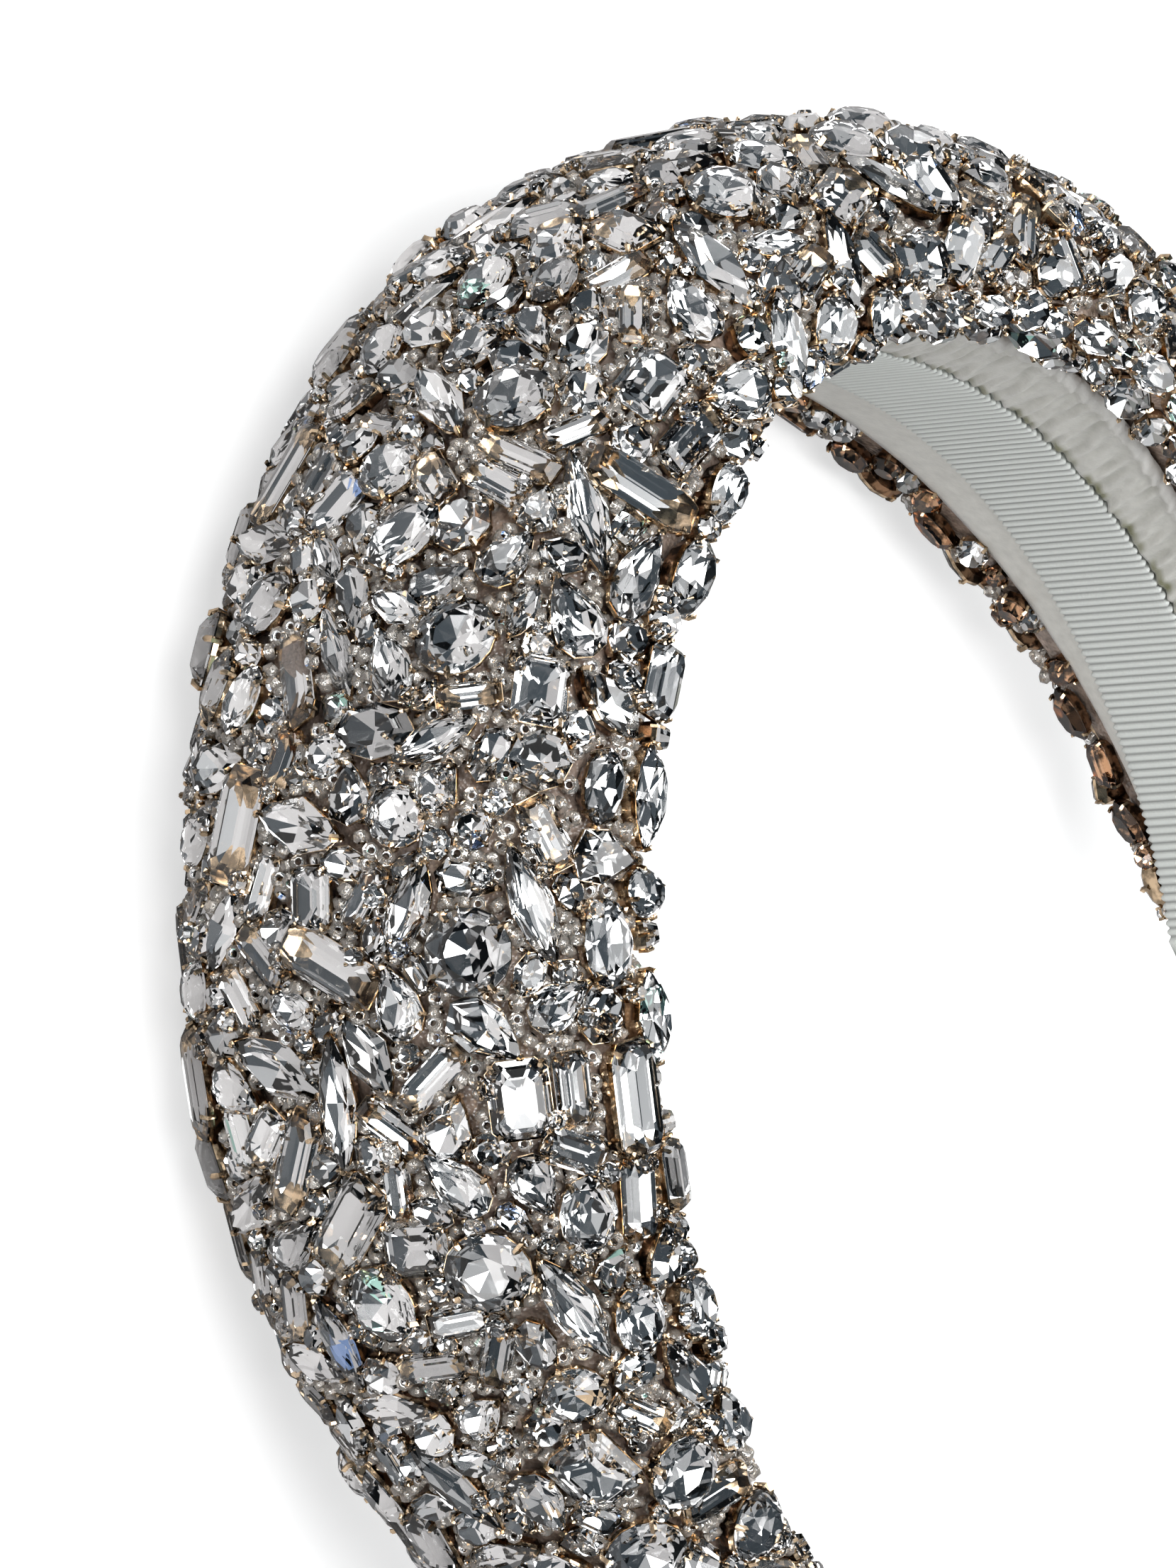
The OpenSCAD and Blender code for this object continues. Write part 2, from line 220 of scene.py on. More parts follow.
def skin(phi, girth, size=1.0):
    """Padding's skin: across is half the width times cos(girth)^0.85, and the level rises over the
    widest line as sin^0.9 outside and falls as sin^0.6 inside."""
    s = shape()
    phi, girth = np.broadcast_arrays(phi, girth)
    outer = s.pad_edge + size * (pad_level(phi) - s.pad_edge) * np.abs(np.sin(girth)) ** OUTER_POWER
    inner = s.pad_edge - size * (s.pad_edge - floor_level(girth))
    across = half_width(phi, np.cos(girth)) * signed_pow(np.cos(girth), SIDE_POWER)
    return band_point(phi, size * across, np.where(np.sin(girth) >= 0, outer, inner))


def floor_level(girth):
    """Level of the padding's inner face, which falls from its widest line as sin^0.6."""
    s = shape()
    return s.pad_edge - (s.pad_edge - s.pad_floor) * np.abs(np.sin(girth)) ** INNER_POWER


def skin_frames(phi, girth):
    """Skin points with unit directions along the band, round it and outwards, from central differences."""
    point = skin(phi, girth)
    along = skin(phi + PROBE, girth) - skin(phi - PROBE, girth)
    around = skin(phi, girth + PROBE) - skin(phi, girth - PROBE)
    out = unit(np.cross(around, along))
    along = unit(along)
    return point, along, np.cross(along, out), out


def sewn_frames(phi, girth):
    """Skin points and directions for what is sewn there. Past the front edge the directions turn on at only
    a share of the skin's own turn."""
    past = np.maximum(girth - EDGE_GIRTHS[1], 0)
    directions = skin_frames(phi, girth - (1 - FRONT_TURN) * past)[1:]
    return (skin(phi, girth), *directions)


def unit(vectors):
    """Vectors divided by their lengths."""
    return vectors / np.maximum(np.linalg.norm(vectors, axis=-1, keepdims=True), TINY)


def rest_turn():
    """Turn from the worn frame to the frame of the band at rest: -90 degrees and the lean about X."""
    return np.array(Matrix.Rotation(shape().lean - math.pi / 2, 3, "X"))


def rest_shift():
    """Move that follows the turn. The middle between the crown's stones and the inner band's tips comes
    over the origin, and the stones under the back edge at the rest angle come down to the table."""
    s = shape()
    crown = s.head_rise + s.pad_t + s.crown_stone_h
    tips = (s.head_rise + TIP_LEVEL * s.band_t) * math.cos(s.band_end)
    lift = (float(pad_width(s.rest_at)) / 2 + s.rest_stone_h) * math.cos(s.lean)
    lift -= (s.head_rise + s.pad_edge) * math.cos(s.rest_at) * math.sin(s.lean)
    return np.array([0.0, -(crown + tips) / 2 * math.cos(s.lean), lift])


def laid(points):
    """Worn points where they are at rest: turned, then moved."""
    return points @ rest_turn().T + rest_shift()


def laid_direction(vectors):
    """Worn directions as they are at rest: turned."""
    return vectors @ rest_turn().T


# Meshes from arrays

def add_piece(name, points, faces, finishes, face_finish=None, smooth=False, on_points=None, on_faces=None):
    """A mesh object at the origin from points and lists of faces with equal corners. Finishes are names
    of materials, and on_points and on_faces are values that the materials read by name."""
    mesh = bpy.data.meshes.new(name)
    corners = np.concatenate([f.ravel() for f in faces])
    counts = np.concatenate([np.full(len(f), f.shape[1]) for f in faces])
    mesh.vertices.add(len(points))
    mesh.vertices.foreach_set("co", np.asarray(points, np.float32).ravel())
    mesh.loops.add(len(corners))
    mesh.loops.foreach_set("vertex_index", corners.astype(np.int32))
    mesh.polygons.add(len(counts))
    mesh.polygons.foreach_set("loop_start", np.concatenate([[0], np.cumsum(counts)[:-1]]).astype(np.int32))
    for finish in finishes:
        mesh.materials.append(material(finish))
    if face_finish is not None:
        mesh.polygons.foreach_set("material_index", face_finish.astype(np.int32))
    mesh.polygons.foreach_set("use_smooth", np.full(len(counts), smooth))
    for domain, values in (("POINT", on_points or {}), ("FACE", on_faces or {})):
        for key, numbers in values.items():
            attribute = mesh.attributes.new(key, "FLOAT", domain)
            attribute.data.foreach_set("value", np.asarray(numbers, np.float32).ravel())
    mesh.update()
    mesh.validate()
    piece = bpy.data.objects.new(name, mesh)
    bpy.context.scene.collection.objects.link(piece)
    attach(piece, BODY)
    return piece


def grid_faces(rows, columns, closed):
    """Quads between each row of a grid of points and the next; closed joins the last column to the first."""
    i, j = np.meshgrid(np.arange(rows - 1), np.arange(columns if closed else columns - 1), indexing="ij")
    i, j = i.ravel(), j.ravel()
    k = (j + 1) % columns
    return np.stack([i * columns + j, i * columns + k, (i + 1) * columns + k, (i + 1) * columns + j], axis=1)


def outward(points, faces):
    """Faces of a closed surface, with their corners turned round if it is inside out."""
    return [f[:, ::-1] for f in faces] if signed_volume(points, faces) < 0 else faces


def signed_volume(points, faces):
    """A sixth of the sum of a . (b x c) over the triangles a, b, c: above 0 where faces point outwards."""
    total = 0.0
    for f in faces:
        for k in range(1, f.shape[1] - 1):
            a, b, c = points[f[:, 0]], points[f[:, k]], points[f[:, k + 1]]
            total += np.einsum("ij,ij->", a, np.cross(b, c))
    return total / 6


def closed_tube(rings):
    """Points and faces of rings (rows, columns, 3) with a cap at each end, facing outwards."""
    rows, columns = rings.shape[:2]
    points = rings.reshape(-1, 3)
    faces = [grid_faces(rows, columns, True)]
    faces.append(np.arange(columns)[::-1][None])
    faces.append(((rows - 1) * columns + np.arange(columns))[None])
    return points, outward(points, faces)


# Stones: outlines and cuts

# Points of a step cut's outline, and where its corners are cut in half lengths and in half widths
STEP_SIDES, STEP_LONG, STEP_WIDE = 8, 0.72, 0.62
# Greatest value of a sine times the sine of half the angle
PEAR_PEAK = 0.77


def outline(kind, count):
    """Outline of half length 1 and half width 1. A navette is sine squared, a pear sine times the sine
    of half the angle, and the others are an ellipse; a step cut is a rectangle with cut corners."""
    if kind == "step":
        a, b = STEP_LONG, STEP_WIDE
        return np.array([[1, -b], [1, b], [a, 1], [-a, 1], [-1, b], [-1, -b], [-a, -1], [a, -1]])
    t = np.arange(count) * 2 * math.pi / count
    x, y = np.cos(t), np.sin(t)
    if kind == "navette":
        y = np.sign(y) * y ** 2
    if kind == "pear":
        y = y * np.sin(t / 2) / PEAR_PEAK
    return np.stack([x, y], axis=1)


# Rings of a brilliant by name: share of the outline, and height as a share of the stone's
BRILLIANT = {"table": (0.54, 1.00), "star": (0.79, 0.85), "girdle": (1.0, 0.62), "belt": (1.0, 0.56),
             "break": (0.58, 0.26), "culet": (0.0, 0.05)}
# The same of a step cut from its table down, and how many rows of its faces are above the belt's lower edge
STEP_RINGS = [(0.52, 1.00), (0.77, 0.85), (1.0, 0.62), (1.0, 0.56), (0.60, 0.25), (0.08, 0.06)]
STEP_CROWN = 3
# The same of a small stone's plain cut down to its belt, and the height of its culet
CHATON_RINGS, CHATON_CULET = [(0.62, 1.00), (1.0, 0.62), (1.0, 0.56)], 0.05


def levelled(ring, share, height):
    """Points of a ring shrunk to a share of it and put at a height."""
    return np.column_stack([ring * share, np.full(len(ring), height)])


def brilliant(kind, count):
    """Unit points and faces of a brilliant: table, stars, kites and halves over the girdle, and kites and
    halves under it down to the culet. Even outline points carry the table, odd ones the stars."""
    ring = outline(kind, count)
    even, odd = ring[0::2], ring[1::2]
    half = count // 2
    parts = [(even, *BRILLIANT["table"]), (odd, *BRILLIANT["star"]), (ring, *BRILLIANT["girdle"]),
             (ring, *BRILLIANT["belt"]), (odd, *BRILLIANT["break"]), (ring[:1] * 0, *BRILLIANT["culet"])]
    points = np.concatenate([levelled(*part) for part in parts])
    table, star, girdle = 0, half, 2 * half
    belt, broke, culet = girdle + count, girdle + 2 * count, girdle + 2 * count + half
    k = np.arange(half)
    n = (k + 1) % half
    e, o, f = 2 * k, 2 * k + 1, (2 * k + 2) % count
    j = np.arange(count)
    m = (j + 1) % count
    crown = [np.arange(half)[None] + table,
             np.stack([table + k, star + k, table + n], axis=1),
             np.stack([star + k, girdle + f, star + n, table + n], axis=1),
             np.concatenate([np.stack([star + k, girdle + e, girdle + o], axis=1),
                             np.stack([star + k, girdle + o, girdle + f], axis=1)]),
             np.stack([girdle + j, belt + j, belt + m, girdle + m], axis=1)]
    below = [np.concatenate([np.stack([broke + k, belt + o, belt + e], axis=1),
                             np.stack([broke + k, belt + f, belt + o], axis=1)]),
             np.stack([broke + k, np.full(half, culet), broke + n, belt + f], axis=1)]
    return points, crown, below


def chaton(kind, count):
    """Unit points and faces of a small stone's plain cut: table, one row of facets to the girdle, its belt,
    and one row from there down to the culet."""
    ring = outline(kind, count)
    points = np.concatenate([*(levelled(ring, *part) for part in CHATON_RINGS), [[0, 0, CHATON_CULET]]])
    j = np.arange(count)
    belt, culet = 2 * count, np.full(count, 3 * count)
    crown = [j[None], grid_faces(len(CHATON_RINGS), count, True)[:, ::-1]]
    return points, crown, [np.stack([belt + j, culet, belt + (j + 1) % count], axis=1)]


def step_cut():
    """Unit points, the share that each is inset to, and faces of a step cut: flat table, two rows of steps
    and the belt, then two rows below it down to a small flat."""
    ring = outline("step", STEP_SIDES)
    points = np.concatenate([levelled(ring, 1, height) for share, height in STEP_RINGS])
    shares = np.repeat([share for share, height in STEP_RINGS], STEP_SIDES)
    sides = grid_faces(len(STEP_RINGS), STEP_SIDES, True)[:, ::-1]
    j, split = np.arange(STEP_SIDES), STEP_CROWN * STEP_SIDES
    last = (len(STEP_RINGS) - 1) * STEP_SIDES
    return points, shares, [j[None], sides[:split]], [sides[split:], (last + j)[::-1][None]]


def place(seats, points, shares=None, depth=None):
    """World points of a unit form on every seat. Shares inset a step cut by the same width all round, and
    depth stretches what is under the girdle, so that no two stones throw the light alike."""
    a, b, h = seats["length"][:, None] / 2, seats["width"][:, None] / 2, seats["rise"][:, None]
    height = np.broadcast_to(points[None, :, 2], (len(a), len(points)))
    if depth is not None:
        height = np.where(height < GIRDLE, GIRDLE - (GIRDLE - height) * depth[:, None], height)
    u, v, w = points[None, :, 0] * a, points[None, :, 1] * b, height * h
    if shares is not None:
        inset = (1 - shares)[None] * b
        u, v = u * (1 - inset / a), v * shares[None]
    return (seats["at"][:, None] + u[..., None] * seats["long"][:, None]
            + v[..., None] * seats["wide"][:, None] + w[..., None] * seats["up"][:, None])


def repeat_faces(faces, copies, stride, start):
    """Faces of every copy of a form whose points follow each other."""
    step = start + stride * np.arange(copies)
    return (faces[None] + step[:, None, None]).reshape(-1, faces.shape[1])


def select(seats, mask):
    """The seats where the mask is true."""
    return {key: value[mask] for key, value in seats.items()}


class Batch:
    """Points, faces and finishes of many joined forms."""

    def __init__(self):
        """Starts empty, with no point counted."""
        self.points, self.faces, self.finish, self.tones, self.count = [], [], [], [], 0

    def add(self, placed, groups, tone):
        """Adds placed (copies, points, 3) with groups of (face arrays, finish index)."""
        copies, stride = placed.shape[:2]
        for arrays, index in groups:
            for faces in arrays:
                made = repeat_faces(faces, copies, stride, self.count)
                self.faces.append(made)
                self.finish.append(np.full(len(made), index))
        self.points.append(placed.reshape(-1, 3))
        self.tones.append(np.repeat(tone, stride))
        self.count += copies * stride

    def piece(self, name, finishes, slot, smooth=False):
        """The batch as one piece, with a random number on each face for its painted fire: tints that stand in
        for the coloured flashes of dispersion.
        """
        finish = np.concatenate(self.finish)
        # Random numbers for the painted fire, the facet tints that stand in for dispersion's coloured flashes
        painted_fire = np.random.default_rng(self.count).random(len(finish))
        made = add_piece(name, np.concatenate(self.points), self.faces, finishes, finish, smooth,
                         on_points={"tone": np.concatenate(self.tones)}, on_faces={"painted_fire": painted_fire})
        return made


# Cuts, by the number that a seat keeps
KINDS = ["round", "oval", "pear", "navette", "step"]
# Sides of a large round's outline, of another large stone's, and of a small one's
ROUND_SIDES, LARGE_SIDES, SMALL_SIDES = 16, 12, 8
# Height of the girdle's lower edge in a stone's height
GIRDLE = 0.56
# Least share of a stone's direction towards the opening where it counts as turned in
BACK_FACING = 0.2
# Least depth under the girdle as a share of the full one, and what a stone's draw adds to it
LEAST_DEPTH, MORE_DEPTH = 0.7, 0.3
# Factors that give a stone its draws for its depth and for an open cup
DEPTH_DRAW, OPEN_DRAW = 7, 13
# Places of the finishes in the lists of a stone or bead, and in a cup's
GLASS, FOIL, BACKED = 0, 1, 2
GOLD, COPPER = 0, 1


def next_draw(tone, factor):
    """Another number from 0 to 1 out of a stone's tone: the fraction that is left of it times a factor."""
    return tone * factor % 1


def turned_in(seats):
    """Stones sewn over the back edge, which face the opening and the table: their backs' copper shows."""
    inward = unit((laid(np.zeros(3)) - seats["at"]) * [1, 1, 0])
    return ((seats["up"] * inward).sum(axis=1) > BACK_FACING) & (seats["up"][:, 2] < 0)


def by_kind(seats):
    """Groups of seats with one cut and the same facing: cut, seats and whether they are turned in."""
    back = turned_in(seats)
    for index, kind in enumerate(KINDS):
        for facing in (False, True):
            some = select(seats, (seats["kind"] == index) & (back == facing))
            if len(some["at"]):
                yield kind, some, facing


def add_gems(batch, seats, cut, round_sides, other_sides):
    """Cut stones on their seats, glass above the girdle and foil below it, or copper on those turned in."""
    for kind, some, facing in by_kind(seats):
        depth = LEAST_DEPTH + MORE_DEPTH * next_draw(some["tone"], DEPTH_DRAW)
        if kind == "step":
            points, shares, crown, below = step_cut()
            placed = place(some, points, shares, depth)
        else:
            points, crown, below = cut(kind, round_sides if kind == "round" else other_sides)
            placed = place(some, points, depth=depth)
        batch.add(placed, [(crown, GLASS), (below, BACKED if facing else FOIL)], some["tone"])


# Rings of a cup: share of the outline and of the height, from its foot up, over the rim and down inside,
# close under the foil
CUP_RINGS = [(0.45, -0.06), (0.82, 0.06), (1.0, 0.40), (1.015, 0.54), (0.975, 0.54), (0.66, 0.24),
             (0.16, 0.02)]
# Share of the cups that are open, and rows of the wall, from the foot up, that are copper on a closed cup,
# on an open one and on one that is turned in
OPEN_SHARE = 0.5
CLOSED_ROWS, OPEN_ROWS, TURNED_ROWS = 1, 2, 5
# Claw: distance from the middle over the outline's, height share, and radius of the wire
CLAW_PATH = [(0.99, 0.34, 0.00032), (1.06, 0.62, 0.00034), (0.96, 0.79, 0.00036), (0.87, 0.80, 0.00024)]
CLAW_SIDES = 4
# Width of a stone whose claws have those radii, and the least and greatest share of them
CLAW_FITS, CLAW_SHARES = 0.007, (0.65, 1.05)
# Angles in degrees where an outline carries its claws; a step cut carries them on its corners
CLAW_ANGLES = {"round": (45, 135, 225, 315), "oval": (42, 138, 222, 318), "pear": (14, 120, 240, 346),
               "navette": (12, 168, 192, 348)}


def add_cups(batch, seats, round_sides, other_sides):
    """A cup round each stone's girdle with a lacquered back under it, and four claws bent over it."""
    for kind, some, facing in by_kind(seats):
        ring = outline(kind, round_sides if kind == "round" else other_sides)
        count, j = len(ring), np.arange(len(ring))
        placed = place(some, np.concatenate([levelled(ring, *part) for part in CUP_RINGS]))
        walls = grid_faces(len(CUP_RINGS), count, True)[:, ::-1]
        foot, inside = j[::-1][None], ((len(CUP_RINGS) - 1) * count + j)[None]
        is_open = (next_draw(some["tone"], OPEN_DRAW) < OPEN_SHARE) | facing
        for rows, mask in ((CLOSED_ROWS, ~is_open), (TURNED_ROWS if facing else OPEN_ROWS, is_open)):
            gold, copper = [walls[rows * count:], inside], [walls[:rows * count], foot]
            batch.add(placed[mask], [(gold, GOLD), (copper, COPPER)], some["tone"][mask])
        add_claws(batch, some, kind)


def claw_roots(kind):
    """Outline points that carry a claw: at given angles, or in the middle of a step cut's corners."""
    if kind == "step":
        ring = outline(kind, STEP_SIDES)
        return (ring[1::2] + np.roll(ring, -1, axis=0)[1::2]) / 2
    return outline(kind, 360)[list(CLAW_ANGLES[kind])]


def add_claws(batch, seats, kind):
    """Each claw is a bent wire: rings of a few points carried along a short path in the plane of the
    stone's axis and the claw's root."""
    a, b, rise = seats["length"][:, None] / 2, seats["width"][:, None] / 2, seats["rise"][:, None]
    j = np.arange(CLAW_SIDES)
    turn = (j * 2 * math.pi / CLAW_SIDES)[None, None, :, None]
    wire = np.array([radius for share, height, radius in CLAW_PATH])[None, :, None, None]
    thick = wire * np.clip(seats["width"] / CLAW_FITS, *CLAW_SHARES)[:, None, None, None]
    faces = [grid_faces(len(CLAW_PATH), CLAW_SIDES, True), j[::-1][None],
             ((len(CLAW_PATH) - 1) * CLAW_SIDES + j)[None]]
    for root in claw_roots(kind):
        to_root = root[0] * a * seats["long"] + root[1] * b * seats["wide"]
        reach = np.linalg.norm(to_root, axis=1, keepdims=True)
        out = to_root / reach
        side = np.cross(seats["up"], out)
        path = np.stack([seats["at"] + out * (reach + (share - 1) * b) + seats["up"] * height * rise
                         for share, height, radius in CLAW_PATH], axis=1)
        across = np.cross(unit(np.gradient(path, axis=1)), side[:, None])
        ring = np.cos(turn) * side[:, None, None] + np.sin(turn) * across[:, :, None]
        placed = (path[:, :, None] + thick * ring).reshape(len(path), -1, 3)
        batch.add(placed, [(outward(placed[0], faces), GOLD)], seats["tone"])


# Stones of the frame

# Micrometres in a metre: points less than one apart are one point
MICRONS = 1e6
# Sides of a pear's rings in the frame, where a navette's and a step cut's are eight and the others' ten
PEAR_SIDES = 9
# What such rings measure of a pear's full length and width, and of a round's or oval's full width
PEAR_MEASURE, ROUND_MEASURE = (0.97, 0.95), 0.951
# Share of a ring's reach past which its points count as ends, and how many ends a step cut has
END_SHARE, STEP_ENDS = 0.95, 4
# Length over width from which a stone is an oval
OVAL_RATIO = 1.12
# Places in degrees along the band and round it where the skin's direction is known for the frame's stones
KNOWN_PHI, KNOWN_GIRTH = np.arange(-124, 125, 2), np.arange(-60, 241, 5)
# Share of a small stone's tilt that the frame's stones have
FRAME_TILT = 0.35


def islands(node):
    """Points of each loose solid of a frame node, with doubles merged: the least label of a triangle is
    passed to its corners until nothing changes."""
    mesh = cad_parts[node].data
    co = np.zeros(len(mesh.vertices) * 3)
    mesh.vertices.foreach_get("co", co)
    tri = np.zeros(len(mesh.loops), np.int64)
    mesh.loops.foreach_get("vertex_index", tri)
    whole = np.round(co.reshape(-1, 3) * MICRONS).astype(np.int64)
    keys, where = np.unique(whole, axis=0, return_inverse=True)
    tri = where.ravel()[tri].reshape(-1, 3)
    label = np.arange(len(keys))
    while True:
        least = label[tri].min(axis=1)
        new = label.copy()
        for corner in range(3):
            np.minimum.at(new, tri[:, corner], least)
        if (new == label).all():
            break
        label = new
    points = keys / MICRONS
    return [points[label == value] for value in np.unique(label)]


def read_stone(points, skin_points, skin_out):
    """Seat of a stone from the three rings of its solid, foot, girdle and table: its axis is the normal of
    the foot, its length and width are the girdle's, and its cut follows from how many sides they have."""
    sides = len(points) // 3
    middle = points.mean(axis=0)
    up = skin_out[np.argmin(((skin_points - middle) ** 2).sum(axis=1))]
    order = np.argsort((points - middle) @ up)
    foot, belt, table = points[order[:sides]], points[order[sides:2 * sides]], points[order[2 * sides:]]
    normal = np.linalg.svd(foot - foot.mean(axis=0))[2][2]
    up = normal * np.sign(normal @ up)
    flat = belt - belt.mean(axis=0)
    long = np.linalg.svd(flat)[2][0]
    wide = np.cross(up, long)
    u, v = flat @ long, flat @ wide
    if abs(u.min()) > u.max():
        long, wide, u, v = -long, -wide, -u, -v
    length, width = np.ptp(u), np.ptp(v)
    if sides == STEP_SIDES:
        kind = "navette" if (np.abs(u) > END_SHARE * u.max()).sum() < STEP_ENDS else "step"
    elif sides == PEAR_SIDES:
        kind, length, width = "pear", length / PEAR_MEASURE[0], width / PEAR_MEASURE[1]
    else:
        width = width / ROUND_MEASURE
        kind = "round" if length < OVAL_RATIO * width else "oval"
    level = (foot.mean(axis=0) - belt.mean(axis=0)) @ up
    at = belt.mean(axis=0) + long * (u.max() + u.min()) / 2 + up * level
    rise = (table.mean(axis=0) - foot.mean(axis=0)) @ up
    return at, long, wide, up, length, width, rise, KINDS.index(kind)


def make_seats(rows, rng):
    """Rows of (at, long, wide, up, length, width, rise, kind) as arrays, with a tone for each stone."""
    names = ["at", "long", "wide", "up", "length", "width", "rise", "kind"]
    seats = {name: np.array([row[k] for row in rows]) for k, name in enumerate(names)}
    seats["tone"] = rng.random(len(rows))
    return seats


@functools.lru_cache(maxsize=None)
def frame_seats():
    """Seats of the stones of every stone node, by node, tilted a little."""
    phi, girth = np.meshgrid(np.radians(KNOWN_PHI), np.radians(KNOWN_GIRTH))
    points, _, _, out = skin_frames(phi.ravel(), girth.ravel())
    points, out = laid(points), laid_direction(out)
    rng = np.random.default_rng(stones().seed)
    nodes = sorted(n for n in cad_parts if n.startswith("stone"))
    seats = {n: make_seats([read_stone(p, points, out) for p in islands(n)], rng) for n in nodes}
    return {n: tilted(some, rng, FRAME_TILT * stones().tilt) for n, some in seats.items()}


def joined(groups):
    """Groups of seats as one."""
    return {key: np.concatenate([group[key] for group in groups]) for key in groups[0]}


def all_frame_seats():
    """Seats of all the frame's stones as one group."""
    return joined(list(frame_seats().values()))


# More stones charted from the photo on the crown, the left arm and the right arm's front edge: cut, angle
# along the band, girth and turn in degrees, length and width in mm
CHARTED = [
    ("oval", -72.5, 131, 0, 7, 4.5), ("round", -79, 122, 0, 5, 5), ("round", -59, 130, 0, 4.5, 4.5),
    ("navette", -23, 105, -70, 7, 4), ("round", -17, 117, 0, 7, 7), ("step", -14, 88, 0, 6, 3.5),
    ("oval", -12, 111, 70, 7, 6), ("round", -14, 128, 0, 7, 7), ("oval", -1, 127, 0, 7, 5.5),
    ("pear", -25, 170, 0, 7.5, 6), ("oval", -21, 172, 15, 9, 5), ("round", -33, 149.5, 0, 6.8, 6.8),
    ("round", -38, 131, 0, 4.6, 4.6), ("oval", -33, 134, 20, 7, 4.5), ("round", -24, 136, 0, 5, 5),
    ("step", -29, 127, 75, 7, 3), ("oval", -44, 74.5, 0, 7, 5.5), ("pear", -33, 61, 90, 9, 6),
    ("round", -28, 69, 0, 7, 7), ("round", 9, 110, 0, 7, 7), ("oval", 17, 107, 0, 8, 6),
    ("oval", 19, 146, 0, 8, 6), ("pear", 24, 169, 5, 10, 5), ("round", 34, 166, 0, 6, 6),
    ("round", 39, 129, 0, 8, 8), ("step", -57, 63, 0, 7, 4), ("pear", 14, 158, -45, 8, 5.5),
    ("round", 24, 202, 0, 5, 5), ("oval", 49.5, 206, 0, 8, 5.2),
    ("round", 41, 206, 0, 3.6, 3.6), ("round", 60, 210, 0, 3.6, 3.6), ("round", 65.5, 206, 0, 5.6, 5.6),
    ("round", 74, 208, 0, 3.8, 3.8), ("round", 82, 205, 0, 5, 5), ("oval", 15, 199, 10, 6, 4),
    ("step", 5, 191, 80, 9, 4.7), ("oval", -9, 191, 90, 7, 5), ("round", -2, 190, 0, 4.5, 4.5),
]
# Angle in degrees from which charted stones of the left arm have a twin on the right arm
TWIN_FROM = -31
# How far the charted stones past the right arm's front edge lean towards the crown
EDGE_LEAN = math.radians(18)
# Power of the cosine that keeps the height added to stones close to the front edge
FRONT_POWER = 8
# Cuts that a row along an edge is drawn from
EDGE_KINDS = ["oval", "oval", "step", "round"]


def charted_rows():
    """Seats of the charted stones, and of their twins a half turn round on the other arm."""
    twins = [(kind, -phi, 180 - girth, turn + 180, *size) for kind, phi, girth, turn, *size in CHARTED
             if phi < TWIN_FROM]
    return [sewn_row(*(math.radians(angle) for angle in (phi, girth, turn)), length * MM, width * MM, kind)
            for kind, phi, girth, turn, length, width in CHARTED + twins]


def sewn_row(phi, girth, turn, length, width, kind):
    """A stone's row at a place on the skin, turned from the band's length. Past the right arm's front edge it
    leans towards the crown, and is lifted by half of what its lean takes its end down."""
    at, along, around, out = (v[0] for v in sewn_frames(np.array([phi]), np.array([girth])))
    lean = EDGE_LEAN if phi > FRONT_ROW["span"][0] and girth > math.pi else 0.0
    at = at + out * math.sin(lean) * length / 4
    along, out = (math.cos(lean) * along + math.sin(lean) * out,
                  math.cos(lean) * out - math.sin(lean) * along)
    turned = math.cos(turn) * along + math.sin(turn) * around
    return seat_row(laid(at), laid_direction(turned), laid_direction(out), length, width, kind, girth)


def edge_row(rng, span, girth, lengths, widths, gap):
    """Seats of a row along an edge: longish stones, each a gap after the end of the one before."""
    rows, phi = [], span[0]
    while phi < span[1]:
        length, width = rng.uniform(*lengths), rng.uniform(*widths)
        kind = rng.choice(EDGE_KINDS)
        length = width if kind == "round" else length
        way = (length + gap) / (shape().head_half_w + shape().pad_edge)
        rows.append(sewn_row(phi + way / 2, girth, 0.0, length, width, kind))
        phi += way
    return rows


def seat_row(at, long, up, length, width, kind, girth):
    """One stone's row, with the height that its width gives, and more of it along the front edge."""
    look = stones()
    front = max(0.0, -math.cos(girth)) ** FRONT_POWER
    rise = look.base_rise + look.rise_share * width + shape().front_stone_h * front
    return at, long, np.cross(up, long), up, length, width, rise, KINDS.index(kind)


# Filling between the frame's stones

# Ends of the thick and of the thin segment that stand for a navette and for a pear, in half lengths from
# its middle, and both segments' radii as shares of the half width
TAPERED_ENDS = {"navette": ((-0.15, 0.15), (-0.75, 0.75)),
                "pear": ((-0.3 - 0.15, -0.3 + 0.15), (-0.3, 0.7))}
THICK, THIN = 0.97, 0.45


def to_segments(seats):
    """Starts, ends and radii of two segments for each stone. Both run along its middle line less half a
    width at each end, but a navette and a pear have a short thick one and a thin one to their tips."""
    half, radius = seats["length"][:, None] / 2, seats["width"] / 2
    straight = np.maximum(half - radius[:, None], 0)
    tips = []
    for side in (0, 1):
        for part in (0, 1):
            shift = (2 * side - 1) * straight
            for kind, ends in TAPERED_ENDS.items():
                shift = np.where(seats["kind"][:, None] == KINDS.index(kind), ends[part][side] * half, shift)
            tips.append(seats["at"] + seats["long"] * shift)
    return (np.concatenate(tips[:2]), np.concatenate(tips[2:]),
            np.concatenate([THICK * radius, THIN * radius]))


def clearance(points, start, end, radius):
    """Least distance from each point to a set of thick segments: to the nearest point of each one's middle
    line, less its radius."""
    line = end - start
    size = np.maximum((line ** 2).sum(axis=1), TINY)
    t = np.clip(((points[:, None] - start) * line).sum(axis=-1) / size, 0, 1)
    near = start + t[..., None] * line
    return (np.linalg.norm(points[:, None] - near, axis=-1) - radius).min(axis=1)


